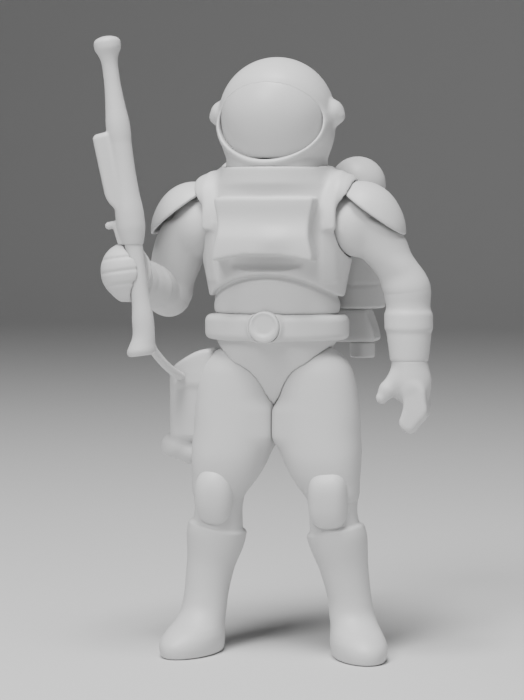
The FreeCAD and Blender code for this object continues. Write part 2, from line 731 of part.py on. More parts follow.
def make_canister(thigh):
    """The canister on the right thigh: its body, its sloping flap and the rounded cap below."""
    corner = ("@canister_x - @canister_width / 2", "@canister_y - @canister_depth / 2", 53.5)
    case = block("canister_case", corner, ("@canister_width + 3", "@canister_depth", 18.3))
    outer_x = SIZES["canister_x"] - SIZES["canister_width"] / 2 + 0.01

    def outer_corner(edge):
        return edge.BoundBox.ZLength > 10 and edge.BoundBox.XMax < outer_x

    smooth = rounded("canister_rounded", case, 2.2, outer_corner)
    node("canister_body", cut("canister_cut", smooth, thigh))
    slope = [(-27.6, 70.6), (-26.4, 72.6), (-23.8, 74.4), (-21.0, 75.4), (-18.0, 76.0)]
    outline = [(-27.6, 69.2), *slope, (-18.0, 69.2)]
    flap = padded("canister_flap", "XZ_Plane", outline, "@canister_depth + 1", (0, "@canister_y", 0))
    node("canister_flap", cut("flap_cut", flap, smooth, thigh))
    bulb = egg("canister_bulb", ("@canister_x - 1.4", "@canister_y", 51.3), (5.4, 4.6, 3.6))
    tail = egg("canister_tail", ("@canister_x + 2.6", "@canister_y", 49.6), (4.6, 4.2, 3.6))
    node("canister_cap", cut("cap_cut", fuse("canister_end", bulb, tail), smooth, thigh))


def make_arm(side, sign):
    """Upper arm with its shoulder joint and pauldron, the forearm with its gauntlet, hinged at the elbow."""
    shoulder = shoulder_centre(sign)
    elbow = (f"{sign} * @{side}_elbow_x", f"@{side}_elbow_y", f"@{side}_elbow_z")
    reach = "@shoulder_x - @cavity_radius - 1"
    make_joint_piece(f"{side}_shoulder_joint", shoulder, sign, "@peg_radius", reach, "@shoulder_barrel")

    outboard_x = "@arm_inner_x" if sign > 0 else "-1 * @arm_inner_x - 40"
    outboard = block(f"{side}_arm_outboard", (outboard_x, -40, 40), (40, 80, 100))
    limb = overlap(f"{side}_arm_limb", sculpt(f"{side}_arm_loft", f"{side}_arm", sign), outboard)
    upright = ((1, 0, 0), 90) if side == "right" else None
    below_elbow = sculpt(f"{side}_forearm_loft", f"{side}_forearm", sign, tilt=upright)
    if side == "right":
        limb, below_elbow = mitre_elbow(elbow, limb, below_elbow)
    elbow_ball = ball(f"{side}_elbow_ball", elbow, "@elbow_radius")
    shoulder_ball = ball(f"{side}_arm_ball", shoulder, "@shoulder_radius")
    shape = fuse(f"{side}_arm_shape", limb, shoulder_ball, elbow_ball)
    pin, slot, beside_tongue, pin_hole = hinge_parts(
        f"{side}_elbow", elbow, "@elbow_radius", "@elbow_tongue", "@elbow_pin_radius", "@elbow_pin_length"
    )
    reach = "@shoulder_radius + 1"
    hollow = joint_room(
        f"{side}_shoulder_room", shoulder, sign, "@peg_radius", reach, "@shoulder_barrel", 7.2
    )
    node(f"{side}_upper_arm", cut(f"{side}_arm_cut", shape, slot, pin, *hollow))
    make_pauldron(side, sign, shoulder, limb)
    whole = fuse(f"{side}_forearm_whole", elbow_ball, below_elbow)
    return below_elbow, cut(f"{side}_forearm_tongue", whole, beside_tongue), pin_hole


def mitre_elbow(elbow, limb, below_elbow):
    """Trim the bent right arm's two halves to one plane through the elbow, a gap apart."""
    x, y, z = elbow
    turn = ((1, 0, 0), "-1 * @elbow_mitre")
    sine, cosine = "sin(@elbow_mitre * 1 deg)", "cos(@elbow_mitre * 1 deg)"
    corner = (f"{x} - 30", f"{y} - 30 * {cosine}", f"{z} + 30 * {sine}")
    above = block("mitre_above", corner, (60, 60, 40), turn)
    shift = "(@gap + 40)"
    low_corner = (corner[0], f"{corner[1]} - {shift} * {sine}", f"{corner[2]} - {shift} * {cosine}")
    beneath = block("mitre_beneath", low_corner, (60, 60, 40), turn)
    return overlap("right_arm_mitred", limb, above), overlap("right_forearm_mitred", below_elbow, beneath)


def make_pauldron(side, sign, shoulder, limb):
    """A shell over the shoulder, cut off below along a line that falls outward."""
    x, y, z = shoulder
    shell = egg(
        f"{side}_pauldron_shell",
        (f"{x} + {sign} * 1.2", y, f"{z} - 1.8"),
        ("@pauldron_radius + 1.3", "@pauldron_radius - 0.1", "@pauldron_radius + 0.2"),
        ((0, 1, 0), f"{sign} * @pauldron_tilt"),
    )
    corner = (
        f"{sign} * @pauldron_cut_x - 30 * cos(@pauldron_cut_tilt * 1 deg)",
        -30,
        f"@pauldron_cut_z + {sign} * 30 * sin(@pauldron_cut_tilt * 1 deg)",
    )
    fall = ((0, 1, 0), f"{sign} * @pauldron_cut_tilt")
    above = block(f"{side}_pauldron_above", corner, (60, 60, 40), fall)
    free_x = x if sign > 0 else f"{x} - 30"
    free = fuse(
        f"{side}_pauldron_free",
        ball(f"{side}_pauldron_ball", shoulder, "@pauldron_radius"),
        block(f"{side}_pauldron_outer", (free_x, -30, 80), (30, 60, 60)),
    )
    edge_x = "@pauldron_inner_x" if sign > 0 else "-1 * @pauldron_inner_x - 40"
    edge = block(f"{side}_pauldron_edge", (edge_x, -30, 80), (40, 60, 60))
    inside = ball(f"{side}_pauldron_inside", shoulder, "@shoulder_radius + 0.2")
    kept = overlap(f"{side}_pauldron_kept", shell, above, free, edge)
    node(f"{side}_pauldron", cut(f"{side}_pauldron_cut", kept, inside, limb))


def make_left_forearm(loft_shape, lower, pin_hole):
    """The free arm: gauntlet, open hand with its thumb, and the wrist peg between them."""
    start = ("@left_wrist_x", "@left_wrist_y", "@left_wrist_z")
    peg = node("left_wrist_peg", rod("left_wrist_rod", start, "Z", "@wrist_peg_radius", "@wrist_peg_length"))
    hole = rod("left_wrist_hole", start, "Z", "@wrist_peg_radius + @fit", "@wrist_peg_length + @gap")
    node("left_forearm", cut("left_forearm_cut", lower, pin_hole, hole))
    cuff = sculpt("left_gauntlet_loft", "left_gauntlet")
    node("left_gauntlet", cut("left_gauntlet_cut", cuff, loft_shape))
    palm = sculpt("left_palm_loft", "left_palm")
    whole = fuse("left_hand_shape", palm, sculpt("left_thumb_loft", "left_thumb"))
    node("left_hand", cut("left_hand_cut", whole, peg))


def make_right_forearm(loft_shape, lower, pin_hole):
    """The gun arm: gauntlet, and a fist with a groove open on its inner side for the rifle's grip."""
    start = ("@right_wrist_x", "@right_wrist_y", "@right_wrist_z")
    rod_shape = rod("right_wrist_rod", start, "-Y", "@wrist_peg_radius", "@wrist_peg_length")
    peg = node("right_wrist_peg", rod_shape)
    inner = (start[0], "@right_wrist_y + @gap", start[2])
    hole = rod("right_wrist_hole", inner, "-Y", "@wrist_peg_radius + @fit", "@wrist_peg_length + 2 * @gap")
    node("right_forearm", cut("right_forearm_cut", lower, pin_hole, hole))
    cuff = sculpt("right_gauntlet_loft", "right_gauntlet", -1, tilt=((1, 0, 0), 90))
    node("right_gauntlet", cut("right_gauntlet_cut", cuff, loft_shape))
    knuckles = egg("fist_shape", ("@fist_x", "@fist_y", "@fist_z"), (6.3, 5.7, 6.7))
    heel = ("@right_wrist_x - 0.1", "@right_wrist_y - 5", "@right_wrist_z + 0.2")
    wrist = rod("fist_wrist", heel, "-Y", 4.4, 5)
    lean = ((0, 1, 0), "-1 * @rifle_lean")
    start = on_rifle(0, -12)
    room = "(@grip_radius + @gap / 2)"
    groove = solid("Cylinder", "fist_groove", start, lean, Radius=room, Height=24)
    mouth = block("fist_mouth", (start[0], f"@rifle_y - {room}", start[2]), (12, f"2 * {room}", 24), lean)
    node("right_hand", cut("right_hand_cut", fuse("fist_whole", knuckles, wrist), groove, mouth, peg))


def on_rifle(across, along):
    """A point given across and along the rifle's own leaning axis."""
    sine, cosine = "sin(@rifle_lean * 1 deg)", "cos(@rifle_lean * 1 deg)"
    x = f"@rifle_x + {across} * {cosine} - {along} * {sine}"
    z = f"@rifle_z + {along} * {cosine} + {across} * {sine}"
    return x, "@rifle_y", z


def make_rifle():
    """The rifle, built along its own axis from the grip and leaning out at the top."""
    at = ("@rifle_x", "@rifle_y", "@rifle_z")
    lean = ((0, 1, 0), "-1 * @rifle_lean")
    barrel_line = [
        (0, 31),
        (2.95, 31),
        (3.0, 36),
        (2.6, 39.5),
        (2.15, 43.5),
        (1.95, 47.5),
        (2.0, 51),
        (2.4, 52.8),
        (3.2, 54.4),
        (3.35, 55.8),
        (2.7, 57.3),
        (0, 57.6),
    ]
    receiver_line = [(0, 7.4), (2.7, 7.4), (3.4, 10.5), (3.6, 13), (3.2, 18), (2.8, 24), (2.7, 31), (0, 31)]
    butt_rows = [(-7.4, 0, 2.2), (-11, -0.1, 2.6), (-16, -0.4, 2.8), (-18.6, -1.4, 3.5), (-20.7, -1.6, 3.4)]
    barrel = node("rifle_barrel", turned("rifle_barrel", barrel_line, at, lean))
    receiver = node("rifle_receiver", turned("rifle_receiver", receiver_line, at, lean))
    low = on_rifle(0, "-1 * @grip_half_length")
    grip = solid("Cylinder", "rifle_grip", low, lean, Radius="@grip_radius", Height="2 * @grip_half_length")
    butt = loft("rifle_butt", [(on_rifle(x, z), radius, radius, lean) for z, x, radius in butt_rows])
    stock = node("rifle_stock", fuse("rifle_grip_and_butt", grip, butt))
    box_line = [(-1.5, 15), (-3.6, 15.4), (-6.2, 28.5), (-6.1, 32.6), (-3.2, 35.2), (-1.5, 34.4)]
    box = padded("rifle_side_block", "XZ_Plane", box_line, 5.2, at, lean)
    node("rifle_side_block", cut("side_block_cut", box, receiver, barrel))
    stem = [(-2, 8), (-4.2, 7.8), (-4.4, 10.6)]
    lever_line = [*stem, (-6.3, 11.4), (-6.3, 12.3), (-5.0, 13.3), (-3.2, 12.8), (-2, 12)]
    lever = padded("rifle_lever", "XZ_Plane", lever_line, 2.2, at, lean)
    node("rifle_lever", cut("lever_cut", lever, receiver))
    return stock


def hose_path(points):
    """Straight runs joined by tangent arcs, each as large as its two runs allow."""
    points = [FreeCAD.Vector(*point) for point in points]
    edges = []
    last = points[0]
    for before, corner, after in zip(points, points[1:], points[2:]):
        to_before, to_after = before - corner, after - corner
        half_turn = (math.pi - to_before.getAngle(to_after)) / 2
        setback = 0.45 * min(to_before.Length, to_after.Length)
        radius = setback / math.tan(half_turn)
        first = corner + to_before.normalize() * setback
        second = corner + to_after.normalize() * setback
        inward = (to_before + to_after).normalize()
        middle = corner + inward * (radius / math.cos(half_turn) - radius)
        edges.append(Part.LineSegment(last, first).toShape())
        edges.append(Part.Arc(first, middle, second).toShape())
        last = second
    edges.append(Part.LineSegment(last, points[-1]).toShape())
    return Part.Wire(edges)


HOSE_ROUTE = [
    (-28.3, -17.6, 81.5),
    (-27.9, -17.2, 77.6),
    (-25.8, -14.0, 73.6),
    (-24.4, -10.0, 71.0),
    (-23.7, -7.4, 69.9),
    (-23.4, -5.3, 69.4),
]


def make_hose(stock):
    """The short hose from the rifle's butt to the canister; its end stops just short of the canister."""
    path = hose_path(HOSE_ROUTE)
    radius = SIZES["hose_radius"]
    start, along = path.Vertexes[0].Point, path.Edges[0].tangentAt(0)
    ring = Part.Wire([Part.Circle(start, along, radius).toShape()])
    tube = doc.addObject("Part::Feature", "hose_tube")
    tube.Shape = path.makePipeShell([ring], True, True)
    node("hose", cut("hose_cut", tube, stock))


def build():
    """Make every sub-part in order."""
    make_sheet()
    make_head()
    make_jet_pack(make_torso())
    make_waist()
    for side, sign in SIDES.items():
        thigh = make_leg(side, sign)
        if side == "right":
            make_canister(thigh)
        parts = make_arm(side, sign)
        finish_arm = make_right_forearm if side == "right" else make_left_forearm
        finish_arm(*parts)
    make_hose(make_rifle())
    doc.recompute()


def check_and_write():
    """Stop if anything failed; otherwise write one STEP file for each sub-part."""
    bad = {"Invalid", "Error"}
    faults = [f"{thing.Label}: {thing.State}" for thing in doc.Objects if bad & set(thing.State)]
    for thing in nodes:
        shape = thing.Shape
        if shape.isNull() or not shape.isValid() or not shape.Solids:
            faults.append(f"{thing.Label}: no valid solid")
    if faults:
        raise RuntimeError("\n".join(faults))
    os.makedirs("parts", exist_ok=True)
    for thing in nodes:
        thing.Shape.exportStep(f"parts/{thing.Label}.step")
        count = len(thing.Shape.Solids)
        print(f"{thing.Label:22s} {thing.Shape.Volume:9.1f} mm3 {count} solid{'s' if count > 1 else ''}")
    print(len(nodes), "sub-parts")


build()
check_and_write()
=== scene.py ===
"""Looks of the space-trooper action figure: soft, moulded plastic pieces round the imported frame.

Lengths in this file are millimetres in the frame's axes; meshes are made in metres.
Each piece is a distance field, joined and carved from simple forms, and meshed over its zero surface.
"""

import json
import math

import bmesh
import bpy
import numpy as np
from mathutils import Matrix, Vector


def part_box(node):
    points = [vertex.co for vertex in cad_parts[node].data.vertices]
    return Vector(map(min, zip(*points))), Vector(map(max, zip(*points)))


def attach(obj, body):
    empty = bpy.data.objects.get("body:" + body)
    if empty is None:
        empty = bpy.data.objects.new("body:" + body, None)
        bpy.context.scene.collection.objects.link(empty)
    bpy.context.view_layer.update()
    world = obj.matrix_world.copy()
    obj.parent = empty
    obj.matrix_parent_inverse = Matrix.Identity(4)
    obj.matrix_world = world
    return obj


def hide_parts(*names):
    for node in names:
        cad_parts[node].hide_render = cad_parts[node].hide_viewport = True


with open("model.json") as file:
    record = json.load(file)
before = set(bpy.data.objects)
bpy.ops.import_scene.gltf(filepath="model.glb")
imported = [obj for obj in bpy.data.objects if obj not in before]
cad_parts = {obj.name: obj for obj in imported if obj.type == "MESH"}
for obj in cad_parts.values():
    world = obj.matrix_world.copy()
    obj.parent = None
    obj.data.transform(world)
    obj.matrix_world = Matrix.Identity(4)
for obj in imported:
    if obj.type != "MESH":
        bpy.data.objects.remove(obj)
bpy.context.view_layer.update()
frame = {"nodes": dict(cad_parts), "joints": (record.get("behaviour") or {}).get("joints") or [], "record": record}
SIDES = {"right": -1, "left": 1}
JOINTS = {joint["name"]: np.array(joint["pos_m"]) * 1000 for joint in frame["joints"] if "pos_m" in joint}
COARSE = 1.0


# ---------------------------------------------------------------- distance fields

def vec(*values):
    return np.array(values, float)


def box_of(node):
    """A CAD node's lowest and highest corners, in millimetres."""
    low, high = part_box(node)
    return np.array(low) * 1000, np.array(high) * 1000


def turned(axis, degrees):
    """The rotation matrix of a turn about a coordinate axis."""
    cosine, sine = math.cos(math.radians(degrees)), math.sin(math.radians(degrees))
    if axis == "X":
        return np.array([[1, 0, 0], [0, cosine, -sine], [0, sine, cosine]])
    if axis == "Y":
        return np.array([[cosine, 0, sine], [0, 1, 0], [-sine, 0, cosine]])
    return np.array([[cosine, -sine, 0], [sine, cosine, 0], [0, 0, 1]])


def local(p, centre, turn=None):
    """Coordinates relative to a centre, in a turned frame if a rotation is given."""
    x, y, z = (p[i] - centre[i] for i in range(3))
    if turn is None:
        return x, y, z
    return tuple(turn[0][i] * x + turn[1][i] * y + turn[2][i] * z for i in range(3))


def join(a, b, soft=0.0):
    """Union, with a fillet of about the given size."""
    if soft <= 0:
        return np.minimum(a, b)
    near = np.maximum(soft - np.abs(a - b), 0) / soft
    return np.minimum(a, b) - near * near * soft / 4


def meet(a, b, soft=0.0):
    """Intersection, with a rounded edge."""
    return -join(-a, -b, soft)


def less(a, b, soft=0.0):
    """The first without the second, with a rounded edge."""
    return meet(a, -b, soft)


def ball(p, centre, radius):
    x, y, z = local(p, centre)
    return np.sqrt(x * x + y * y + z * z) - radius


def egg(p, centre, radii, turn=None):
    """An ellipsoid."""
    x, y, z = local(p, centre, turn)
    a, b, c = radii
    near = np.sqrt((x / a) ** 2 + (y / b) ** 2 + (z / c) ** 2)
    slope = np.sqrt((x / a**2) ** 2 + (y / b**2) ** 2 + (z / c**2) ** 2) + 1e-9
    return near * (near - 1) / slope


def limb(p, start, end, radius_a, radius_b):
    """A rounded cone from one point to another."""
    start, end = np.array(start, float), np.array(end, float)
    along = end - start
    x, y, z = local(p, start)
    share = np.clip((x * along[0] + y * along[1] + z * along[2]) / (along @ along), 0, 1)
    gap = np.sqrt((x - share * along[0]) ** 2 + (y - share * along[1]) ** 2 + (z - share * along[2]) ** 2)
    return gap - (radius_a + share * (radius_b - radius_a))


def brick(p, centre, half, edge, turn=None):
    """A box with rounded edges."""
    q = [np.abs(axis) - (half[i] - edge) for i, axis in enumerate(local(p, centre, turn))]
    outside = np.sqrt(sum(np.maximum(axis, 0) ** 2 for axis in q))
    return outside + np.minimum(np.maximum(np.maximum(q[0], q[1]), q[2]), 0) - edge


def drum(p, centre, radius, half, edge, turn=None):
    """A cylinder along local Z with rounded rims."""
    x, y, z = local(p, centre, turn)
    a = np.sqrt(x * x + y * y) - radius + edge
    b = np.abs(z) - half + edge
    return np.minimum(np.maximum(a, b), 0) + np.sqrt(np.maximum(a, 0) ** 2 + np.maximum(b, 0) ** 2) - edge


def curve_through(heights, rows, column):
    """A smooth curve through one column of a table, by cubic pieces with limited slopes."""
    z = np.array([row[0] for row in rows], float)
    v = np.array([row[column] for row in rows], float)
    run, rise = np.diff(z), np.diff(v)
    slope = rise / run
    tangent = np.concatenate([[slope[0]], (slope[1:] + slope[:-1]) / 2, [slope[-1]]])
    turning = np.concatenate([[False], slope[1:] * slope[:-1] <= 0, [False]])
    tangent[turning] = 0
    h = np.clip(heights, z[0], z[-1])
    i = np.clip(np.searchsorted(z, h, side="right") - 1, 0, len(run) - 1)
    t = (h - z[i]) / run[i]
    low, high = v[i], v[i + 1]
    return (
        low * (1 + 2 * t) * (1 - t) ** 2
        + high * t * t * (3 - 2 * t)
        + run[i] * (tangent[i] * t * (1 - t) ** 2 - tangent[i + 1] * t * t * (1 - t))
    )


def tower(p, rows, end=1.0, sign=1, yaw=0.0, square=2.0, grow=0.0):
    """A form with elliptical sections, from rows of height, centre x and y, half width and half depth."""
    x, y, z = p
    cx, cy, rx, ry = (curve_through(z, rows, column) for column in (1, 2, 3, 4))
    u, v = x - sign * cx, y - cy
    if yaw:
        cosine, sine = math.cos(math.radians(yaw)), math.sin(math.radians(yaw))
        u, v = u * cosine + v * sine, v * cosine - u * sine
    rx, ry = rx + grow, ry + grow
    ring = (np.abs(u / rx) ** square + np.abs(v / ry) ** square) ** (1 / square)
    round_ring = np.maximum(np.sqrt((u / rx) ** 2 + (v / ry) ** 2), 1e-6)
    slope = np.sqrt((u / rx**2) ** 2 + (v / ry**2) ** 2) / round_ring
    side = (ring - 1) / np.maximum(slope, 1e-6)
    low, high = rows[0][0] - grow, rows[-1][0] + grow
    ends = np.abs(z - (low + high) / 2) - (high - low) / 2
    return meet(side, ends, end)


def step_up(value, low, high):
    """0 below low, 1 above high, smooth between."""
    t = np.clip((value - low) / (high - low), 0, 1)
    return t * t * (3 - 2 * t)


def ridge(value, centre, width):
    """A smooth bump of height 1 at the centre, gone one width away."""
    t = np.clip(np.abs(value - centre) / width, 0, 1)
    return (1 - t * t) ** 2


# ---------------------------------------------------------------- meshing

def surface_net(field, low, step):
    """Vertices and quads over the zero surface of a sampled field."""
    cells = np.array(field.shape) - 1
    sums = np.zeros((int(np.prod(cells)), 3))
    hits = np.zeros(int(np.prod(cells)))
    quads = []
    strides = np.array([cells[1] * cells[2], cells[2], 1])
    for axis in range(3):
        near = np.take(field, range(field.shape[axis] - 1), axis)
        far = np.take(field, range(1, field.shape[axis]), axis)
        spots = np.argwhere((near < 0) != (far < 0))
        a = near[tuple(spots.T)]
        b = far[tuple(spots.T)]
        point = spots.astype(float)
        point[:, axis] += a / (a - b)
        one, two = [other for other in range(3) if other != axis]
        corners = []
        for back_one, back_two in ((0, 0), (1, 0), (1, 1), (0, 1)):
            cell = spots.copy()
            cell[:, one] -= back_one
            cell[:, two] -= back_two
            inside = ((cell >= 0) & (cell < cells)).all(axis=1)
            index = np.where(inside, cell @ strides, -1)
            corners.append(index)
            for k in range(3):
                sums[:, k] += np.bincount(index[inside], point[inside, k], len(hits))
            hits += np.bincount(index[inside], minlength=len(hits))
        ring = np.stack(corners, axis=1)
        flip = (a < 0) == (axis == 1)
        ring[flip] = ring[flip][:, ::-1]
        quads.append(ring[(ring >= 0).all(axis=1)])
    used = hits > 0
    number = np.cumsum(used) - 1
    points = low + step * (sums[used] / hits[used][:, None])
    return points, number[np.concatenate(quads)]


def piece(name, body, slot, low, high, step, field, replaces, smooth=3):
    """Mesh a field, closed where its box ends, and make it ride on a body in place of its CAD nodes."""
    step = step * COARSE
    low, high = np.array(low, float) - 2 * step, np.array(high, float) + 2 * step
    axes = [np.arange(low[i], high[i] + step, step) for i in range(3)]
    p = (axes[0][:, None, None], axes[1][None, :, None], axes[2][None, None, :])
    past_box = [np.maximum(low[i] + step - p[i], p[i] - high[i] + step) for i in range(3)]
    values = np.maximum(np.maximum(np.maximum(field(p), past_box[0]), past_box[1]), past_box[2])
    points, quads = surface_net(values, low, step)
    mesh = bpy.data.meshes.new(name)
    mesh.from_pydata((points / 1000).tolist(), [], quads.tolist())
    thing = bpy.data.objects.new(name, mesh)
    bpy.context.collection.objects.link(thing)
    relax(thing, smooth)
    thing.data.materials.append(plastic(slot))
    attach(thing, body)
    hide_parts(*replaces)


def relax(thing, rounds):
    """Relax the surface a little, turn its faces outward and shade it smooth."""
    axes = {"use_axis_x": True, "use_axis_y": True, "use_axis_z": True}
    form = bmesh.new()
    form.from_mesh(thing.data)
    for _ in range(rounds):
        bmesh.ops.smooth_vert(form, verts=form.verts, factor=0.5, **axes)
    bmesh.ops.recalc_face_normals(form, faces=form.faces)
    form.to_mesh(thing.data)
    form.free()
    thing.data.shade_smooth()


# ---------------------------------------------------------------- materials

# Each slot's grey and roughness.
FINISHES = {
    "suit": (0.60, 0.50),
    "armour": (0.62, 0.47),
    "helmet": (0.62, 0.45),
    "visor": (0.60, 0.40),
    "boots": (0.61, 0.48),
    "gear": (0.60, 0.47),
    "gun": (0.60, 0.47),
    "joint": (0.56, 0.52),
}
# Noise scales of the colour patches, the dull flecks and the moulded grain, and the grain's depth in metres.
PATCHES, FLECKS, GRAIN, GRAIN_DEPTH = 55, 240, 2600, 0.00004
made = {}


def plastic(slot):
    """Matt moulded plastic: a faint mottle in colour and roughness, and a fine moulded grain."""
    if slot in made:
        return made[slot]
    grey, roughness = FINISHES[slot]
    material = bpy.data.materials.new(f"plastic_{slot}")
    material.use_nodes = True
    tree = material.node_tree
    shader = tree.nodes["Principled BSDF"]
    place = tree.nodes.new("ShaderNodeTexCoord")

    def noise(scale, detail):
        cloud = tree.nodes.new("ShaderNodeTexNoise")
        cloud.inputs["Scale"].default_value = scale
        cloud.inputs["Detail"].default_value = detail
        tree.links.new(place.outputs["Object"], cloud.inputs["Vector"])
        return cloud.outputs["Fac"]

    def spread(source, low, high):
        scale = tree.nodes.new("ShaderNodeMapRange")
        scale.inputs["To Min"].default_value = low
        scale.inputs["To Max"].default_value = high
        tree.links.new(source, scale.inputs["Value"])
        return scale.outputs["Result"]

    mottle = noise(PATCHES, 4)
    tint = tree.nodes.new("ShaderNodeCombineColor")
    level = spread(mottle, grey - 0.02, grey + 0.02)
    for channel in ("Red", "Green", "Blue"):
        tree.links.new(level, tint.inputs[channel])
    tree.links.new(tint.outputs["Color"], shader.inputs["Base Color"])
    gloss = spread(noise(FLECKS, 3), roughness - 0.05, roughness + 0.05)
    tree.links.new(gloss, shader.inputs["Roughness"])
    grain = tree.nodes.new("ShaderNodeBump")
    grain.inputs["Strength"].default_value = 0.12
    grain.inputs["Distance"].default_value = GRAIN_DEPTH
    tree.links.new(noise(GRAIN, 3), grain.inputs["Height"])
    tree.links.new(grain.outputs["Normal"], shader.inputs["Normal"])
    shader.inputs["IOR"].default_value = 1.46
    made[slot] = material
    return material


# ---------------------------------------------------------------- head

NECK = 12.75
WINDOW = (13.1, 9.2)
LENS = (13.6, 13.2, 14.0)
POD, POD_LIP = (3.1, 3.7, 3.4), (1.0, 1.5, 1.1)
SHELL_WALL = 2.6


def make_head():
    """Helmet with a raised band round the window and soft ear pods, and the visor sunk in the window."""
    low, high = box_of("helmet_shell")
    radius = (high[0] - low[0]) / 2 - 0.1
    top, base = high[2], low[2]
    middle = vec(0, 0, top - radius - 0.1)
    window = middle - vec(0, 0, 1.8)
    half_wide, half_tall = WINDOW
    pod_low, pod_high = box_of("left_ear_pod")
    pod_height, reach = (pod_low[2] + pod_high[2]) / 2 - 0.4, pod_high[0]
    bell = [
        (base - 1, 0, 0, NECK, NECK),
        (base + 0.8, 0, 0, NECK, NECK),
        (base + 2.4, 0, 0, NECK - 0.15, NECK - 0.15),
        (base + 4.4, 0, 0, radius - 1.3, radius - 1.3),
        (base + 7, 0, 0, radius - 0.45, radius - 0.45),
        (base + 11, 0, 0, radius - 0.2, radius - 0.2),
        (base + 13, 0, 0, radius - 0.6, radius - 0.6),
    ]

    def from_window(p):
        """Distance out from the window's oval outline, seen from the front."""
        x, y, z = local(p, window)
        near = np.sqrt((x / half_wide) ** 2 + (z / half_tall) ** 2)
        slope = np.sqrt((x / half_wide**2) ** 2 + (z / half_tall**2) ** 2) + 1e-6
        return near * (near - 1) / slope, y, z

    def helmet(p):
        shell = join(ball(p, middle, radius), tower(p, bell, 0.2), 1.2)
        for sign in SIDES.values():
            pod = egg(p, (sign * (reach - 3.2), 0, pod_height), POD)
            lip = egg(p, (sign * (reach - 1.0), -0.3, pod_height - 0.8), POD_LIP)
            shell = join(join(shell, pod, 1.1), lip, 1.0)
        edge, y, z = from_window(p)
        front = step_up(-y, 0.5, 4.0)
        lower = step_up(-z, -5.0, 2.0)
        band = ridge(edge, 0.75, 1.35) * (0.15 + 0.75 * lower)
        groove = ridge(edge, 0.5, 1.5) * 0.35 * (1 - lower)
        shell = shell - (band - groove) * front
        shell = less(shell, meet(edge, y + 2.0, 0.3), 0.3)
        shell = less(shell, ball(p, middle, radius - SHELL_WALL), 0.2)
        return meet(shell, base + 0.1 - p[2], 0.2)

    def visor(p):
        edge, y, _ = from_window(p)
        lens = join(ball(p, middle + vec(0, 0, 0.1), radius - 0.35), egg(p, window, LENS), 0.8)
        lens = less(lens, ball(p, middle, radius - 3.4), 0.2)
        return meet(meet(lens, edge - 0.8, 0.3), y + 1.5, 0.3)

    replaced = ["helmet_shell", "visor_rim", "right_ear_pod", "left_ear_pod"]
    piece("helmet", "head", "helmet", vec(-18, -16, base), vec(18, 16, top), 0.3, helmet, replaced)
    corners = vec(-15, -15, base + 3), vec(15, -1, top - 2)
    piece("visor_lens", "head", "visor", *corners, 0.3, visor, ["visor"])


# ---------------------------------------------------------------- torso

# Rows of height, centre x and y, half width and half depth.
CORE = [
    (84.6, 0, 0, 15.6, 10.6),
    (86.5, 0, 0, 15.9, 10.9),
    (91.0, 0, 0, 16.0, 11.1),
    (97.0, 0, 0, 16.3, 11.3),
    (105.0, 0, 0, 16.8, 11.6),
    (112.0, 0, 0, 16.3, 11.5),
    (116.0, 0, 0, 15.0, 11.4),
    (119.0, 0, 0, 13.2, 11.2),
]
VEST = [
    (88.5, 0, 0, 16.9, 12.2),
    (94.0, 0, 0, 17.9, 12.9),
    (99.0, 0, 0, 18.9, 13.4),
    (104.0, 0, 0, 19.2, 13.6),
    (110.0, 0, 0, 18.6, 13.4),
    (115.0, 0, 0, 17.0, 12.9),
    (119.3, 0, 0, 14.6, 11.8),
]
SOCKET = 9.75
STRAP_MIDDLE, STRAP_HALF = 15.0, 1.85
VEST_ARCH_Z, VEST_ARCH_RADIUS = 68.9, 26.3
PACK_HALF, LIP_Z, LIP_RADIUS = 12.5, 55.0, 45.2
RECESS, RECESS_RADII = (0, -14.6, 97.7), (13.2, 4.4, 2.1)
EPAULETTE, EPAULETTE_RADII = (17.4, 0, 113.6), (4.6, 8.2, 6.4)


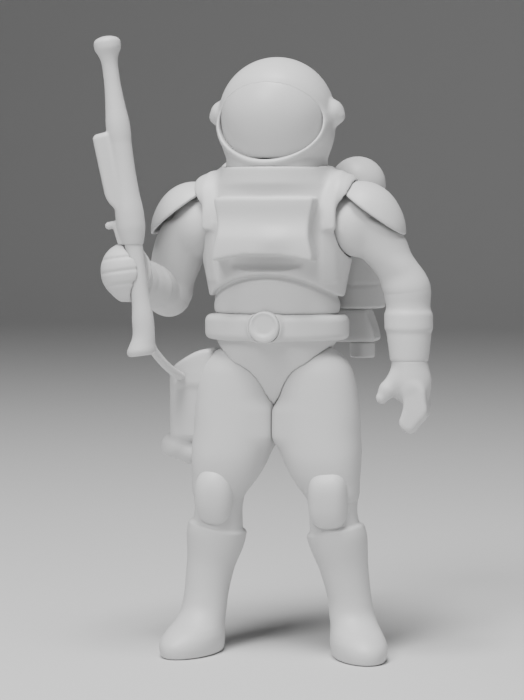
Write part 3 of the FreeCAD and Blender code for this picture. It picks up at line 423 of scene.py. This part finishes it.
def make_torso():
    """Chest and abdomen with the vest, its straps, the collar and the chest pack as one soft form."""
    base = box_of("torso_front")[0][2]
    pack_low, pack_high = box_of("chest_pack")
    neck = box_of("helmet_shell")[0][2]

    def straps(p):
        x, y, z = p
        over = (np.sqrt((y / 10.4) ** 2 + ((z - 106) / 14.6) ** 2) - 1) * 11
        arch = meet(over, 106 - z, 0.5)
        front = meet(tower(p, VEST, 1.4, grow=0.65), meet(z - 108, 93 - z, 0.8), 0.8)
        run = join(arch, front, 1.0)
        return meet(run, np.abs(np.abs(x) - STRAP_MIDDLE) - STRAP_HALF, 0.8)

    def epaulettes(p):
        x, y, z = p
        return egg((np.abs(x), y, z), EPAULETTE, EPAULETTE_RADII)

    def chest_pack(p):
        x, y, z = p
        height = (z - pack_low[2]) / (pack_high[2] - pack_low[2])
        front = pack_low[1] + 0.1 + 1.5 * step_up(height, 0.15, 0.95) + 0.5 * ridge(height, 0.62, 0.3)
        swell = 0.5 * ridge(x - 3.5, 0, 6) * ridge(z - (pack_low[2] + 5.0), 0, 3.6)
        face = front - swell + 0.006 * x * x - y
        sides = np.abs(x) - (PACK_HALF - 1.1 * ridge(height, 0.5, 0.5))
        under = LIP_RADIUS - np.sqrt(x * x + (z - LIP_Z) ** 2)
        slab = meet(meet(meet(face, sides, 0.8), z - pack_high[2], 0.6), under, 0.3)
        return meet(slab, y + 9.0)

    def body(p):
        x, y, z = p
        lift = np.sqrt(x * x + (z - VEST_ARCH_Z) ** 2) - VEST_ARCH_RADIUS
        skin = tower(p, CORE, 1.6) + 0.7 * ridge(lift, -0.5, 1.3)
        vest = meet(tower(p, VEST, 1.8), -lift, 0.7)
        shape = join(skin, vest, 0.25)
        shape = join(shape, straps(p), 0.6)
        shape = join(shape, epaulettes(p), 1.6)
        shape = less(shape, egg(p, RECESS, RECESS_RADII), 0.5)
        shape = join(shape, chest_pack(p), 0.3)
        around = np.sqrt(x * x + y * y)
        collar = drum(p, (0, 0, neck - 1.6), NECK + 0.9, 2.3, 0.6)
        shape = join(shape, collar, 3.0)
        shape = less(shape, meet(around - NECK - 0.3, neck - 0.1 - z))
        for side in SIDES:
            shape = less(shape, ball(p, JOINTS[f"{side}_shoulder_swing"], SOCKET), 0.4)
        return meet(shape, base - 0.3 - z, 0.1)

    replaced = ["torso_front", "torso_back", "vest_front", "vest_back", "right_strap", "left_strap"]
    replaced += ["collar_ring", "chest_pack"]
    corners = vec(-22, -18.5, base - 0.3), vec(22, 15.5, 121.5)
    piece("torso", "torso", "armour", *corners, 0.34, body, replaced)


RIB_PITCH, RIB_HALF = 5.5, 6


def make_jet_pack():
    """Tanks with rounded domes on a softly cornered base, the spine between them, and the nozzles."""
    for side in SIDES:
        low, high = box_of(f"{side}_tank")
        centre = (low + high) / 2
        radius = (high[0] - low[0]) / 2 - 0.05

        def tank(p):
            dome = ball(p, (centre[0], centre[1], high[2] - radius), radius)
            half = (high[2] - radius - low[2]) / 2
            straight = drum(p, (centre[0], centre[1], low[2] + half), radius, half, 0.6)
            seam = ridge(p[2], high[2] - radius - 1.5, 0.8) + ridge(p[2], low[2] + 6, 0.8)
            return join(dome, straight) + 0.3 * seam

        piece(f"{side}_tank_shell", "torso", "gear", low, high, 0.36, tank, [f"{side}_tank"])

    foot_low, foot_high = box_of("pack_base")
    foot_middle, foot_half = (foot_low + foot_high) / 2, (foot_high - foot_low) / 2

    def foot(p):
        x, _, z = local(p, foot_middle)
        shape = brick(p, foot_middle, foot_half, 1.2)
        slant = (np.abs(x) - foot_half[0] + (z + foot_half[2] - 1.8) * 0.36) / 1.06
        return meet(shape, slant, 1.0)

    piece("pack_foot", "torso", "gear", foot_low, foot_high, 0.36, foot, ["pack_base"])
    cup_low, cup_high = box_of("nozzles")

    def cups(p):
        middle, radius = (cup_low + cup_high) / 2, (cup_high[1] - cup_low[1]) / 2
        x, y, z = local(p, middle)
        q = (np.abs(x), y, z)
        half = (cup_high[2] - cup_low[2]) / 2
        out = (cup_high[0] - cup_low[0]) / 2 - radius
        cup = drum(q, (out, 0, 0), radius - 0.05, half, 0.6)
        return less(cup, drum(q, (out, 0, -half), radius - 1.0, 1.6, 0.4), 0.3)

    piece("thruster_cups", "torso", "gear", cup_low, cup_high, 0.3, cups, ["nozzles"])
    spine_low, spine_high = box_of("pack_body")

    def spine(p):
        x, y, z = p
        middle = (spine_low + spine_high) / 2
        shape = brick(p, middle, (spine_high - spine_low) / 2, 1.6)
        step = (z - spine_low[2]) % RIB_PITCH
        back = step_up(y, spine_high[1] - 2.5, spine_high[1] - 1.0)
        ribbed = back * (np.abs(x - middle[0]) < RIB_HALF)
        grooves = 0.4 * ridge(step, RIB_PITCH / 2, 1.1) * ribbed
        return less(shape, tower(p, VEST, 1.8, grow=-0.3)) + grooves

    piece("pack_spine", "torso", "gear", spine_low, spine_high, 0.36, spine, ["pack_body"])


# ---------------------------------------------------------------- waist

# The pelvis and the thighs: rows of height, centre x and y, half width and half depth.
COLUMN = [
    (59.0, 0, 0, 12.6, 8.4),
    (66.0, 0, 0, 13.4, 9.0),
    (74.0, 0, 0, 14.6, 9.9),
    (80.0, 0, 0, 15.4, 10.6),
    (85.3, 0, 0, 15.6, 10.7),
]
THIGH = [
    (40.0, 14.3, -1.6, 6.5, 6.3),
    (42.5, 13.5, -1.5, 7.7, 7.0),
    (45.5, 12.6, -1.3, 8.8, 8.0),
    (49.0, 11.8, -0.9, 9.7, 8.9),
    (53.0, 11.0, -0.4, 10.4, 9.3),
    (58.0, 10.7, 0.0, 10.4, 9.4),
    (63.0, 10.7, 0.2, 10.0, 9.3),
    (68.3, 10.8, 0.3, 9.0, 9.0),
    (72.0, 10.9, 0.3, 7.6, 8.3),
    (75.0, 10.9, 0.3, 5.4, 6.6),
    (76.9, 10.9, 0.3, 3.0, 3.6),
]


def thigh_form(p, sign):
    """One thigh: full at the top, flat against the other one inside, narrowing to the knee."""
    shape = tower(p, THIGH, 1.2, sign, square=2.3)
    inner = brick(p, (sign * 4.4, -0.6, 58.0), (4.3, 6.6, 4.6), 2.0)
    shape = join(shape, inner, 3.0)
    return meet(shape, 0.04 - sign * p[0], 0.3)


def make_waist():
    """Pelvis with its V-shaped front, the belt and the round buckle."""
    low, high = box_of("pelvis")
    belt_low, belt_high = box_of("belt")
    wall_line = [(61.0, 0.4), (63.0, 2.6), (67.0, 5.6), (71.0, 8.6), (75.0, 11.6), (77.5, 14.2), (79.5, 16.5)]
    front_line = [(61.0, -3.2), (65.0, -4.6), (69.0, -6.2), (73.0, -7.9), (77.0, -9.7), (80.0, -10.6)]

    def pelvis(p):
        x, y, z = p
        shape = tower(p, COLUMN, 0.2, square=2.2)
        shape = meet(shape, np.abs(x) - curve_through(z, wall_line, 1), 1.0)
        front = curve_through(z, front_line, 1)
        shape = meet(shape, front - y, 1.0)
        for sign in SIDES.values():
            shape = less(shape, thigh_form(p, sign) - 0.1, 0.2)
        return meet(shape, 61.4 - z, 1.0)

    piece("hips", "pelvis", "suit", low - vec(0, 1, 0), high, 0.34, pelvis, ["pelvis"])
    half_wide, half_deep = belt_high[0] - 0.05, belt_high[1] - 0.05
    mid, half_tall = (belt_low[2] + belt_high[2]) / 2, (belt_high[2] - belt_low[2]) / 2 - 0.05
    buckle_low, buckle_high = box_of("belt_buckle")
    centre = (buckle_low + buckle_high) / 2
    radius = (buckle_high[0] - buckle_low[0]) / 2

    def belt(p):
        x, y, z = p
        near = np.sqrt((x / half_wide) ** 2 + (y / half_deep) ** 2)
        slope = np.sqrt((x / half_wide**2) ** 2 + (y / half_deep**2) ** 2) + 1e-6
        out = near * (near - 1) / slope + 1.7
        up = np.abs(z - mid) - half_tall + 1.7
        ring = np.minimum(np.maximum(out, up), 0) + np.sqrt(np.maximum(out, 0) ** 2 + np.maximum(up, 0) ** 2)
        boss = drum(p, (centre[0], buckle_low[1] + 2.4, centre[2]), radius + 0.5, 1.9, 1.0, turned("X", 90))
        band = join(less(ring - 1.7, out + 1.6, 0.3), boss, 1.2)
        return less(band, egg(p, (centre[0], buckle_low[1] + 1.0, centre[2]), (radius, 2.0, radius)), 0.2)

    piece("waist_belt", "pelvis", "armour", belt_low - vec(0, 1.0, 0), belt_high, 0.3, belt, ["belt"])

    def buckle(p):
        x, y, z = local(p, (centre[0], buckle_low[1], centre[2]))
        disc = drum(p, (centre[0], buckle_low[1] + 1.9, centre[2]), radius - 0.05, 1.85, 0.6, turned("X", 90))
        away = np.sqrt(x * x + (z - 0.7) ** 2)
        return disc + 0.6 * step_up(radius - away, 0.6, 1.8) * step_up(-y, -1.4, -0.2)

    piece("round_buckle", "pelvis", "armour", buckle_low, buckle_high, 0.2, buckle, ["belt_buckle"])


# ---------------------------------------------------------------- legs

SHIN = [
    (7.8, 19.0, -4.2, 7.6, 5.9),
    (10.0, 18.5, -2.7, 6.2, 5.7),
    (14.0, 18.0, -1.7, 5.7, 5.6),
    (20.0, 17.2, -0.9, 6.1, 6.0),
    (25.5, 16.2, -0.6, 6.7, 6.6),
    (29.5, 15.6, -0.8, 6.8, 6.7),
    (33.5, 15.0, -1.2, 6.3, 6.2),
    (37.0, 14.7, -1.5, 5.9, 5.9),
    (41.0, 14.6, -1.6, 5.7, 5.7),
]
BOOTS = {
    "right": [
        (0.0, 20.0, -7.6, 10.6, 6.1),
        (2.0, 20.0, -7.6, 11.0, 6.6),
        (4.0, 19.9, -7.2, 10.7, 6.7),
        (6.0, 19.5, -6.0, 9.4, 6.3),
        *SHIN,
    ],
    "left": [
        (0.0, 21.9, -4.2, 10.6, 6.1),
        (2.0, 21.9, -4.2, 11.0, 6.6),
        (4.0, 21.7, -3.9, 10.7, 6.7),
        (6.0, 21.1, -2.9, 9.4, 6.3),
        (7.8, 20.2, -1.2, 7.5, 5.9),
        (10.0, 19.3, 0.2, 6.1, 5.7),
        (14.0, 18.6, 0.7, 5.6, 5.5),
        (20.0, 17.4, 0.5, 6.1, 6.0),
        (25.5, 16.4, 0.0, 6.7, 6.6),
        (29.5, 15.7, -0.5, 6.8, 6.7),
        (33.5, 15.0, -1.1, 6.3, 6.2),
        (37.0, 14.7, -1.5, 5.9, 5.9),
        (41.0, 14.6, -1.6, 5.7, 5.7),
    ],
}
TOE_OUT = {"right": 18, "left": 28}
CUFF_TILT, CUFF = 12, (15.5, -0.7, 30.4)
KNEE_BALL = 6.1
PAD = (4.9, 4.2, 7.2)


def make_leg(side, sign):
    """Thigh, knee pad, boot shaft with its rolled cuff, and the foot."""
    knee = JOINTS[f"{side}_knee_bend"]
    low, high = box_of(f"{side}_thigh")

    def thigh(p):
        return join(thigh_form(p, sign), ball(p, knee, KNEE_BALL + 0.2), 1.8)

    corners = low - vec(1.2, 1, 0.6), high + vec(1.2, 1, 0.6)
    piece(f"{side}_leg", f"{side}_thigh", "suit", *corners, 0.36, thigh, [f"{side}_thigh"])
    yaw = -90 + sign * TOE_OUT[side]
    tilt = turned("Y", -sign * CUFF_TILT)

    def boot(p):
        shape = tower(p, BOOTS[side], 0.6, sign, yaw)
        shape = join(shape, ball(p, knee, KNEE_BALL), 1.5)
        height = local(p, (sign * CUFF[0], CUFF[1], CUFF[2]), tilt)[2]
        cuff = 1.0 * step_up(-height, -1.7, -1.1) * step_up(height, -9.0, 1.0)
        return meet(shape - cuff, -p[2], 0.3)

    low, high = box_of(f"{side}_boot")
    corners = low - vec(1.2, 1.2, 0), high + vec(1.2, 1.2, 0)
    replaced = [f"{side}_boot", f"{side}_boot_cuff"]
    piece(f"{side}_boot_shell", f"{side}_lower_leg", "boots", *corners, 0.36, boot, replaced)
    pad_low, pad_high = box_of(f"{side}_knee_pad")
    middle = (pad_low + pad_high) / 2
    square = 3.0 if side == "left" else 2.3
    lean = turned("X", 7)

    def pad(p):
        x, y, z = local(p, (middle[0], pad_low[1] + 4.0, middle[2] + 0.3), lean)
        wide, deep, tall = PAD
        near = np.abs(x / wide) ** square + np.abs(y / deep) ** 2 + np.abs(z / tall) ** square
        near = near ** (1 / square)
        return (near - 1) * 3.0

    corners = pad_low - vec(0.6, 0.8, 0.6), pad_high + vec(0.6, 3.4, 0.8)
    piece(f"{side}_knee_cap", f"{side}_lower_leg", "boots", *corners, 0.28, pad, [f"{side}_knee_pad"])


def make_canister():
    """The canister on the right thigh: flap, case and rounded end as one soft form."""
    low, high = box_of("canister_body")
    flap_low, flap_high = box_of("canister_flap")
    cap_low = box_of("canister_cap")[0]
    centre, half = (low + high) / 2, (high - low) / 2
    flap_half = (flap_high[1] - flap_low[1]) / 2 - 0.1

    def canister(p):
        x, _, z = p
        case = brick(p, (centre[0] + 0.4, centre[1], 62.5), (half[0] + 0.4, half[1] - 0.1, 9.6), 2.0)
        inward = flap_high[0] - x
        slope = (z - flap_high[2] + 0.35 * (inward - 1.0) + 0.028 * inward**2) * 0.9
        flap = meet(brick(p, (centre[0] + 1.2, centre[1], 71.5), (5.2, flap_half, 5), 1.4), slope, 1.2)
        shape = join(meet(case, slope, 1.2), flap, 1.0)
        bulb = egg(p, (cap_low[0] + 4.4, centre[1], 51.4), (4.4, 4.6, 3.5))
        tail = egg(p, (cap_low[0] + 8.4, centre[1], 49.8), (4.3, 4.2, 3.3), turned("Y", 14))
        return join(shape, join(bulb, tail, 1.2), 1.3)

    corners = vec(cap_low[0] - 0.4, flap_low[1], cap_low[2]), flap_high + vec(2, 0, 0.4)
    replaced = ["canister_body", "canister_flap", "canister_cap"]
    piece("canister", "right_thigh", "gear", *corners, 0.32, canister, replaced)


# ---------------------------------------------------------------- arms

ARMS = {
    "right": [
        (89.0, 28.6, 2.3, 5.4, 5.3),
        (92.2, 28.2, 2.2, 5.8, 5.6),
        (95.0, 27.3, 1.9, 6.2, 6.0),
        (99.0, 26.0, 1.4, 6.8, 6.5),
        (104.0, 24.2, 0.7, 7.1, 6.9),
        (108.6, 21.6, 0.0, 7.2, 7.1),
    ],
    "left": [
        (91.0, 32.2, 1.0, 5.3, 5.2),
        (94.0, 31.4, 0.9, 5.6, 5.5),
        (96.6, 30.0, 0.8, 6.1, 6.0),
        (100.0, 27.3, 0.5, 6.6, 6.4),
        (104.5, 24.9, 0.3, 7.1, 6.9),
        (108.6, 21.6, 0.0, 7.2, 7.1),
    ],
}
FOREARM = [
    (73.6, 33.7, -1.0, 4.7, 4.6),
    (77.0, 33.6, -0.6, 5.1, 5.0),
    (81.0, 33.4, 0.0, 5.5, 5.4),
    (85.0, 33.2, 0.5, 5.5, 5.4),
    (88.5, 33.0, 0.9, 5.4, 5.3),
    (91.0, 32.8, 1.0, 5.3, 5.2),
]
# The pauldron's tilt outward and the slope of its lower edge, in degrees.
PAULDRON_TURN, PAULDRON_EDGE = 56, 36
ELBOW_BALL = 5.6


def make_arm(side, sign):
    """Upper arm with its shoulder and elbow, and the pauldron over the shoulder."""
    shoulder, elbow = JOINTS[f"{side}_shoulder_swing"], JOINTS[f"{side}_elbow_bend"]
    low, high = box_of(f"{side}_upper_arm")

    def arm(p):
        shape = tower(p, ARMS[side], 1.5, sign)
        filled = egg(p, shoulder - vec(sign * 2.5, 0, 2.0), (8.2, 8.0, 8.6))
        shape = join(shape, meet(filled, ball(p, shoulder, SOCKET - 0.35), 0.5), 1.0)
        return join(shape, ball(p, elbow, 5.7), 1.8)

    corners = low - 1.2, high + 1.2
    piece(f"{side}_sleeve", f"{side}_upper_arm", "suit", *corners, 0.36, arm, [f"{side}_upper_arm"])
    pad_low, pad_high = box_of(f"{side}_pauldron")
    turn = turned("Y", PAULDRON_TURN * sign)
    lean = math.radians(PAULDRON_EDGE)

    def pauldron(p):
        x, _, z = p
        out = sign * x
        middle = shoulder + vec(sign * 1.2, 0, -1.8)
        shell = join(egg(p, middle, (10.6, 9.2, 9.5), turn), ball(p, shoulder, 9.45), 1.0)
        inner = join(egg(p, middle, (9.6, 8.2, 8.4), turn), ball(p, shoulder, 8.2), 0.6)
        below = (109.0 - z) * math.cos(lean) - (out - 26.15) * math.sin(lean)
        shell = meet(shell, below, 0.5)
        shell = meet(shell, 16.2 - out, 0.8)
        return less(shell, inner, 0.3)

    corners = pad_low - vec(0.8, 0.4, 0.4), pad_high + vec(0.8, 0.4, 1.6)
    name, body = f"{side}_shoulder_plate", f"{side}_upper_arm"
    piece(name, body, "armour", *corners, 0.32, pauldron, [f"{side}_pauldron"])


# Each finger's place from front to back, and how much shorter it is than the longest.
FINGERS = [(-4.4, 0.6), (-2.6, 0.0), (-0.8, 0.2), (1.0, 0.9)]


def make_left_forearm():
    """The free arm: forearm with its gauntlet rim, and the open hand with curled fingers."""
    elbow = JOINTS["left_elbow_bend"]

    def forearm(p):
        z = p[2]
        shape = join(tower(p, FOREARM, 0.8), ball(p, elbow, ELBOW_BALL), 1.5)
        rim = 0.5 * step_up(z, 80.6, 82.0) * step_up(-z, -86.8, -85.2)
        return shape - rim

    low, high = box_of("left_forearm")
    replaced = ["left_forearm", "left_gauntlet"]
    piece("left_lower_arm", "left_forearm", "suit", low - 0.5, high + 0.7, 0.34, forearm, replaced)
    low, high = box_of("left_hand")

    def hand(p):
        palm = egg(p, (34.0, -1.3, 68.6), (5.2, 3.9, 5.4))
        heel = limb(p, (33.8, -1.0, 74.5), (33.9, -1.2, 69.0), 4.4, 4.6)
        shape = join(palm, heel, 1.5)
        fingers = None
        for forward, shorter in FINGERS:
            knuckle = (35.6, forward, 66.0)
            middle = (35.9, forward - 0.2, 61.6 + shorter)
            tip = (34.2, forward - 0.5, 58.4 + shorter)
            finger = join(limb(p, knuckle, middle, 2.9, 2.9), limb(p, middle, tip, 2.9, 2.3), 0.5)
            finger = meet(finger, np.abs(p[1] - forward + 0.2) - 1.25, 1.0)
            fingers = finger if fingers is None else join(fingers, finger, 0.4)
        shape = join(shape, fingers, 1.2)
        root, bend, end = (31.2, -2.6, 69.6), (28.8, -3.6, 66.8), (27.5, -4.2, 64.9)
        thumb = join(limb(p, root, bend, 2.4, 2.1), limb(p, bend, end, 2.1, 1.5), 0.6)
        return join(shape, thumb, 1.0)

    piece("left_open_hand", "left_hand", "suit", low - 0.4, high + 0.4, 0.24, hand, ["left_hand"])


def make_right_forearm():
    """The gun arm: forearm pointing forward with its gauntlet rim, and the fist round the grip."""
    elbow, wrist = JOINTS["right_elbow_bend"], JOINTS["right_wrist_turn"]
    fist = vec(-33.6, -18.4, 96.0)
    bend = (-30.9, -4.0, 91.7)

    def forearm(p):
        y = p[1]
        shape = join(ball(p, elbow, ELBOW_BALL), limb(p, elbow, bend, 5.2, 5.4), 1.5)
        shape = join(shape, limb(p, bend, wrist, 5.4, 4.6), 1.5)
        shape = meet(shape, wrist[1] - y, 0.5)
        rim = 0.5 * step_up(-y, 5.6, 6.8) * step_up(y, -11.0, -9.6)
        return shape - rim

    low, high = box_of("right_forearm")
    replaced = ["right_forearm", "right_gauntlet"]
    piece("right_lower_arm", "right_forearm", "suit", low - 0.8, high + 0.8, 0.34, forearm, replaced)
    low, high = box_of("right_hand")
    lean = turned("Y", -RIFLE_LEAN)

    def hand(p):
        shape = egg(p, fist, (6.3, 5.6, 6.9))
        shape = join(shape, limb(p, (-32.9, -12.0, 94.4), (-33.6, -15.0, 95.2), 4.4, 4.8), 1.6)
        shape = join(shape, egg(p, (-32.6, -18.0, 90.6), (3.6, 3.4, 2.6)), 1.6)
        height = local(p, fist, lean)[2]
        creases = sum(ridge(height, level, 0.55) for level in (-3.1, 0.1, 3.3))
        shape = shape + 0.28 * creases * step_up(fist[1] - p[1], 0.5, 3.0)
        across, along = local(p, RIFLE_AT, lean)[:2]
        bore = np.sqrt(across * across + along * along) - 2.35
        mouth = meet(np.abs(along) - 2.35, -across)
        return less(shape, join(bore, mouth), 0.3)

    piece("right_fist", "right_hand", "suit", low - 0.6, high + 0.6, 0.26, hand, ["right_hand"])


# ---------------------------------------------------------------- rifle

RIFLE_LEAN = 7.6
RIFLE_AT = vec(-30.3, -20.0, 96.0)
# Height above the fist and radius, along the rifle.
RIFLE_LINE = [
    (6.0, 2.3),
    (8.0, 2.9),
    (11.5, 3.5),
    (14.0, 3.5),
    (18.5, 3.1),
    (24.0, 2.8),
    (31.0, 2.75),
    (34.0, 2.95),
    (36.5, 2.9),
    (39.5, 2.55),
    (43.5, 2.15),
    (47.5, 1.95),
    (51.0, 2.0),
    (52.8, 2.4),
    (54.4, 3.2),
    (55.8, 3.3),
    (56.9, 2.7),
    (57.5, 1.6),
]
# Height above the fist, radius and shift to the side, along the stock.
BUTT_LINE = [
    (-20.7, 3.2, -1.6),
    (-19.4, 3.55, -1.55),
    (-17.8, 3.2, -1.1),
    (-16.0, 2.8, -0.5),
    (-11.5, 2.65, -0.1),
    (-8.0, 2.3, 0.0),
    (-6.0, 2.2, 0.0),
    (8.0, 2.2, 0.0),
]


def make_rifle():
    """The rifle: swollen muzzle, receiver with its side block and lever, and the flared butt."""
    lean = turned("Y", -RIFLE_LEAN)

    def upper(p):
        u, v, w = q = local(p, RIFLE_AT, lean)
        shape = np.sqrt(u * u + v * v) - curve_through(w, RIFLE_LINE, 1)
        shape = meet(shape, np.abs(w - 31.7) - 25.8, 0.8)
        block = brick(q, (-3.2, 0, 24.4), (2.35, 2.7, 10.0), 1.3, turned("Y", -5))
        slope = (15.2 - w - 1.25 * (u + 2.6)) * 0.62
        shape = join(shape, meet(block, slope, 1.0), 0.5)
        stem = limb(q, (-2.6, 0, 7.6), (-3.6, 0, 11.6), 1.35, 1.05)
        head = limb(q, (-2.9, 0, 12.2), (-5.6, 0, 11.9), 0.8, 0.95)
        return join(shape, join(stem, head, 0.5), 0.5)

    def lower(p):
        u, v, w = local(p, RIFLE_AT, lean)
        radius, shift = (curve_through(w, BUTT_LINE, column) for column in (1, 2))
        shape = np.sqrt((u - shift) ** 2 + v * v) - radius
        return meet(shape, np.abs(w + 6.3) - 14.3, 0.6)

    nodes = ["rifle_barrel", "rifle_receiver", "rifle_side_block", "rifle_lever"]
    boxes = [box_of(node) for node in nodes]
    low = np.min([box[0] for box in boxes], axis=0) - 0.3
    high = np.max([box[1] for box in boxes], axis=0)
    piece("rifle_upper", "rifle", "gun", low, high, 0.24, upper, nodes, smooth=2)
    low, high = box_of("rifle_stock")
    piece("rifle_butt", "rifle", "gun", low - 0.2, high + 0.2, 0.26, lower, ["rifle_stock"], smooth=2)


HOSE_ROUTE = [
    (-28.3, -17.6, 81.5),
    (-27.9, -17.2, 77.6),
    (-25.8, -14.0, 73.6),
    (-24.4, -10.0, 71.0),
    (-23.7, -7.4, 69.9),
    (-23.4, -5.3, 69.4),
]
HOSE_RADIUS = 1.05


def make_hose():
    """The short hose that hangs from the rifle's butt to the canister, as one smooth curve."""
    curve = bpy.data.curves.new("hose_line", "CURVE")
    curve.dimensions = "3D"
    curve.bevel_depth = HOSE_RADIUS / 1000
    curve.bevel_resolution = 6
    curve.resolution_u = 10
    curve.use_fill_caps = True
    line = curve.splines.new("NURBS")
    line.points.add(len(HOSE_ROUTE) - 1)
    for point, place in zip(line.points, HOSE_ROUTE):
        point.co = (*(value / 1000 for value in place), 1)
    line.order_u = 3
    line.use_endpoint_u = True
    hose = bpy.data.objects.new("hose_line", curve)
    bpy.context.collection.objects.link(hose)
    curve.materials.append(plastic("gun"))
    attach(hose, "rifle")
    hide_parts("hose")


# ---------------------------------------------------------------- stage

FLOOR_HALF_WIDTH, FLOOR_FRONT, FLOOR_BACK, WALL_BEND, WALL_TOP = 4.0, -3.0, 1.6, 0.9, 4.0
WORLD_LIGHT = 0.12
# Each lamp's name, place, size and power.
LAMPS = [
    ("key", (-0.2, -0.65, 0.7), 0.35, 5.5),
    ("top", (0.0, -0.25, 0.9), 0.4, 10.5),
    ("fill", (0.7, -0.6, 0.3), 0.6, 1.0),
]
CAMERA_AZIMUTH, CAMERA_ELEVATION, CAMERA_DISTANCE = 14.0, 3.5, 0.54
AIM_HEIGHT, AIM_ASIDE = 0.076, -0.00375
# The lens's focal length is given in sensor heights.
SENSOR_HEIGHT, FOCAL_HEIGHTS = 24, 2160 / 700


def make_stage():
    """A plain pale floor that runs up behind the figure, soft lights, and the camera."""
    mesh = bpy.data.meshes.new("floor")
    form = bmesh.new()
    profile = [(FLOOR_FRONT, 0.0), (FLOOR_BACK, 0.0)]
    for angle in range(10, 91, 10):
        turn = math.radians(angle)
        profile.append((FLOOR_BACK + WALL_BEND * math.sin(turn), WALL_BEND - WALL_BEND * math.cos(turn)))
    profile.append((FLOOR_BACK + WALL_BEND, WALL_TOP))
    sides = (-FLOOR_HALF_WIDTH, FLOOR_HALF_WIDTH)
    rows = [[form.verts.new((x, y, z)) for x in sides] for y, z in profile]
    for below, above in zip(rows, rows[1:]):
        form.faces.new((below[0], below[1], above[1], above[0]))
    form.to_mesh(mesh)
    form.free()
    mesh.shade_smooth()
    floor = bpy.data.objects.new("floor", mesh)
    bpy.context.collection.objects.link(floor)
    paint = bpy.data.materials.new("floor_paint")
    paint.use_nodes = True
    shader = paint.node_tree.nodes["Principled BSDF"]
    shader.inputs["Base Color"].default_value = (0.62, 0.62, 0.62, 1)
    shader.inputs["Roughness"].default_value = 0.9
    mesh.materials.append(paint)

    world = bpy.data.worlds.new("studio")
    world.use_nodes = True
    background = world.node_tree.nodes["Background"]
    background.inputs["Color"].default_value = (1, 1, 1, 1)
    background.inputs["Strength"].default_value = WORLD_LIGHT
    bpy.context.scene.world = world

    for name, place, size, power in LAMPS:
        light = bpy.data.lights.new(name, "AREA")
        light.shape = "DISK"
        light.size = size
        light.energy = power
        lamp = bpy.data.objects.new(name, light)
        lamp.location = place
        lamp.rotation_euler = look(vec(0, 0, 0.08) - place)
        bpy.context.collection.objects.link(lamp)

    azimuth, elevation = math.radians(CAMERA_AZIMUTH), math.radians(CAMERA_ELEVATION)
    right = vec(math.cos(azimuth), math.sin(azimuth), 0)
    back = vec(-math.sin(azimuth), math.cos(azimuth), 0)
    toward = vec(0, 0, math.sin(elevation)) - math.cos(elevation) * back
    target = vec(0, 0, AIM_HEIGHT) + AIM_ASIDE * right
    lens = bpy.data.cameras.new("camera")
    lens.sensor_fit = "VERTICAL"
    lens.sensor_height = SENSOR_HEIGHT
    lens.lens = SENSOR_HEIGHT * FOCAL_HEIGHTS
    camera = bpy.data.objects.new("camera", lens)
    camera.location = target + CAMERA_DISTANCE * toward
    camera.rotation_euler = look(-toward)
    bpy.context.collection.objects.link(camera)
    bpy.context.scene.camera = camera


def look(direction):
    """The turn that points a lamp or camera along a direction."""
    return Vector(direction).to_track_quat("-Z", "Y").to_euler()


def finish_cad_nodes():
    """The hidden joint pieces keep their CAD shape and take the moulded plastic."""
    slots = {entry["node"]: entry["material_slot"] for entry in frame["record"]["subparts"]}
    for name, thing in frame["nodes"].items():
        thing.data.materials.clear()
        thing.data.materials.append(plastic(slots[name]))


make_stage()
make_head()
make_torso()
make_jet_pack()
make_waist()
for side, sign in SIDES.items():
    make_leg(side, sign)
    make_arm(side, sign)
make_canister()
make_left_forearm()
make_right_forearm()
make_rifle()
make_hose()
finish_cad_nodes()
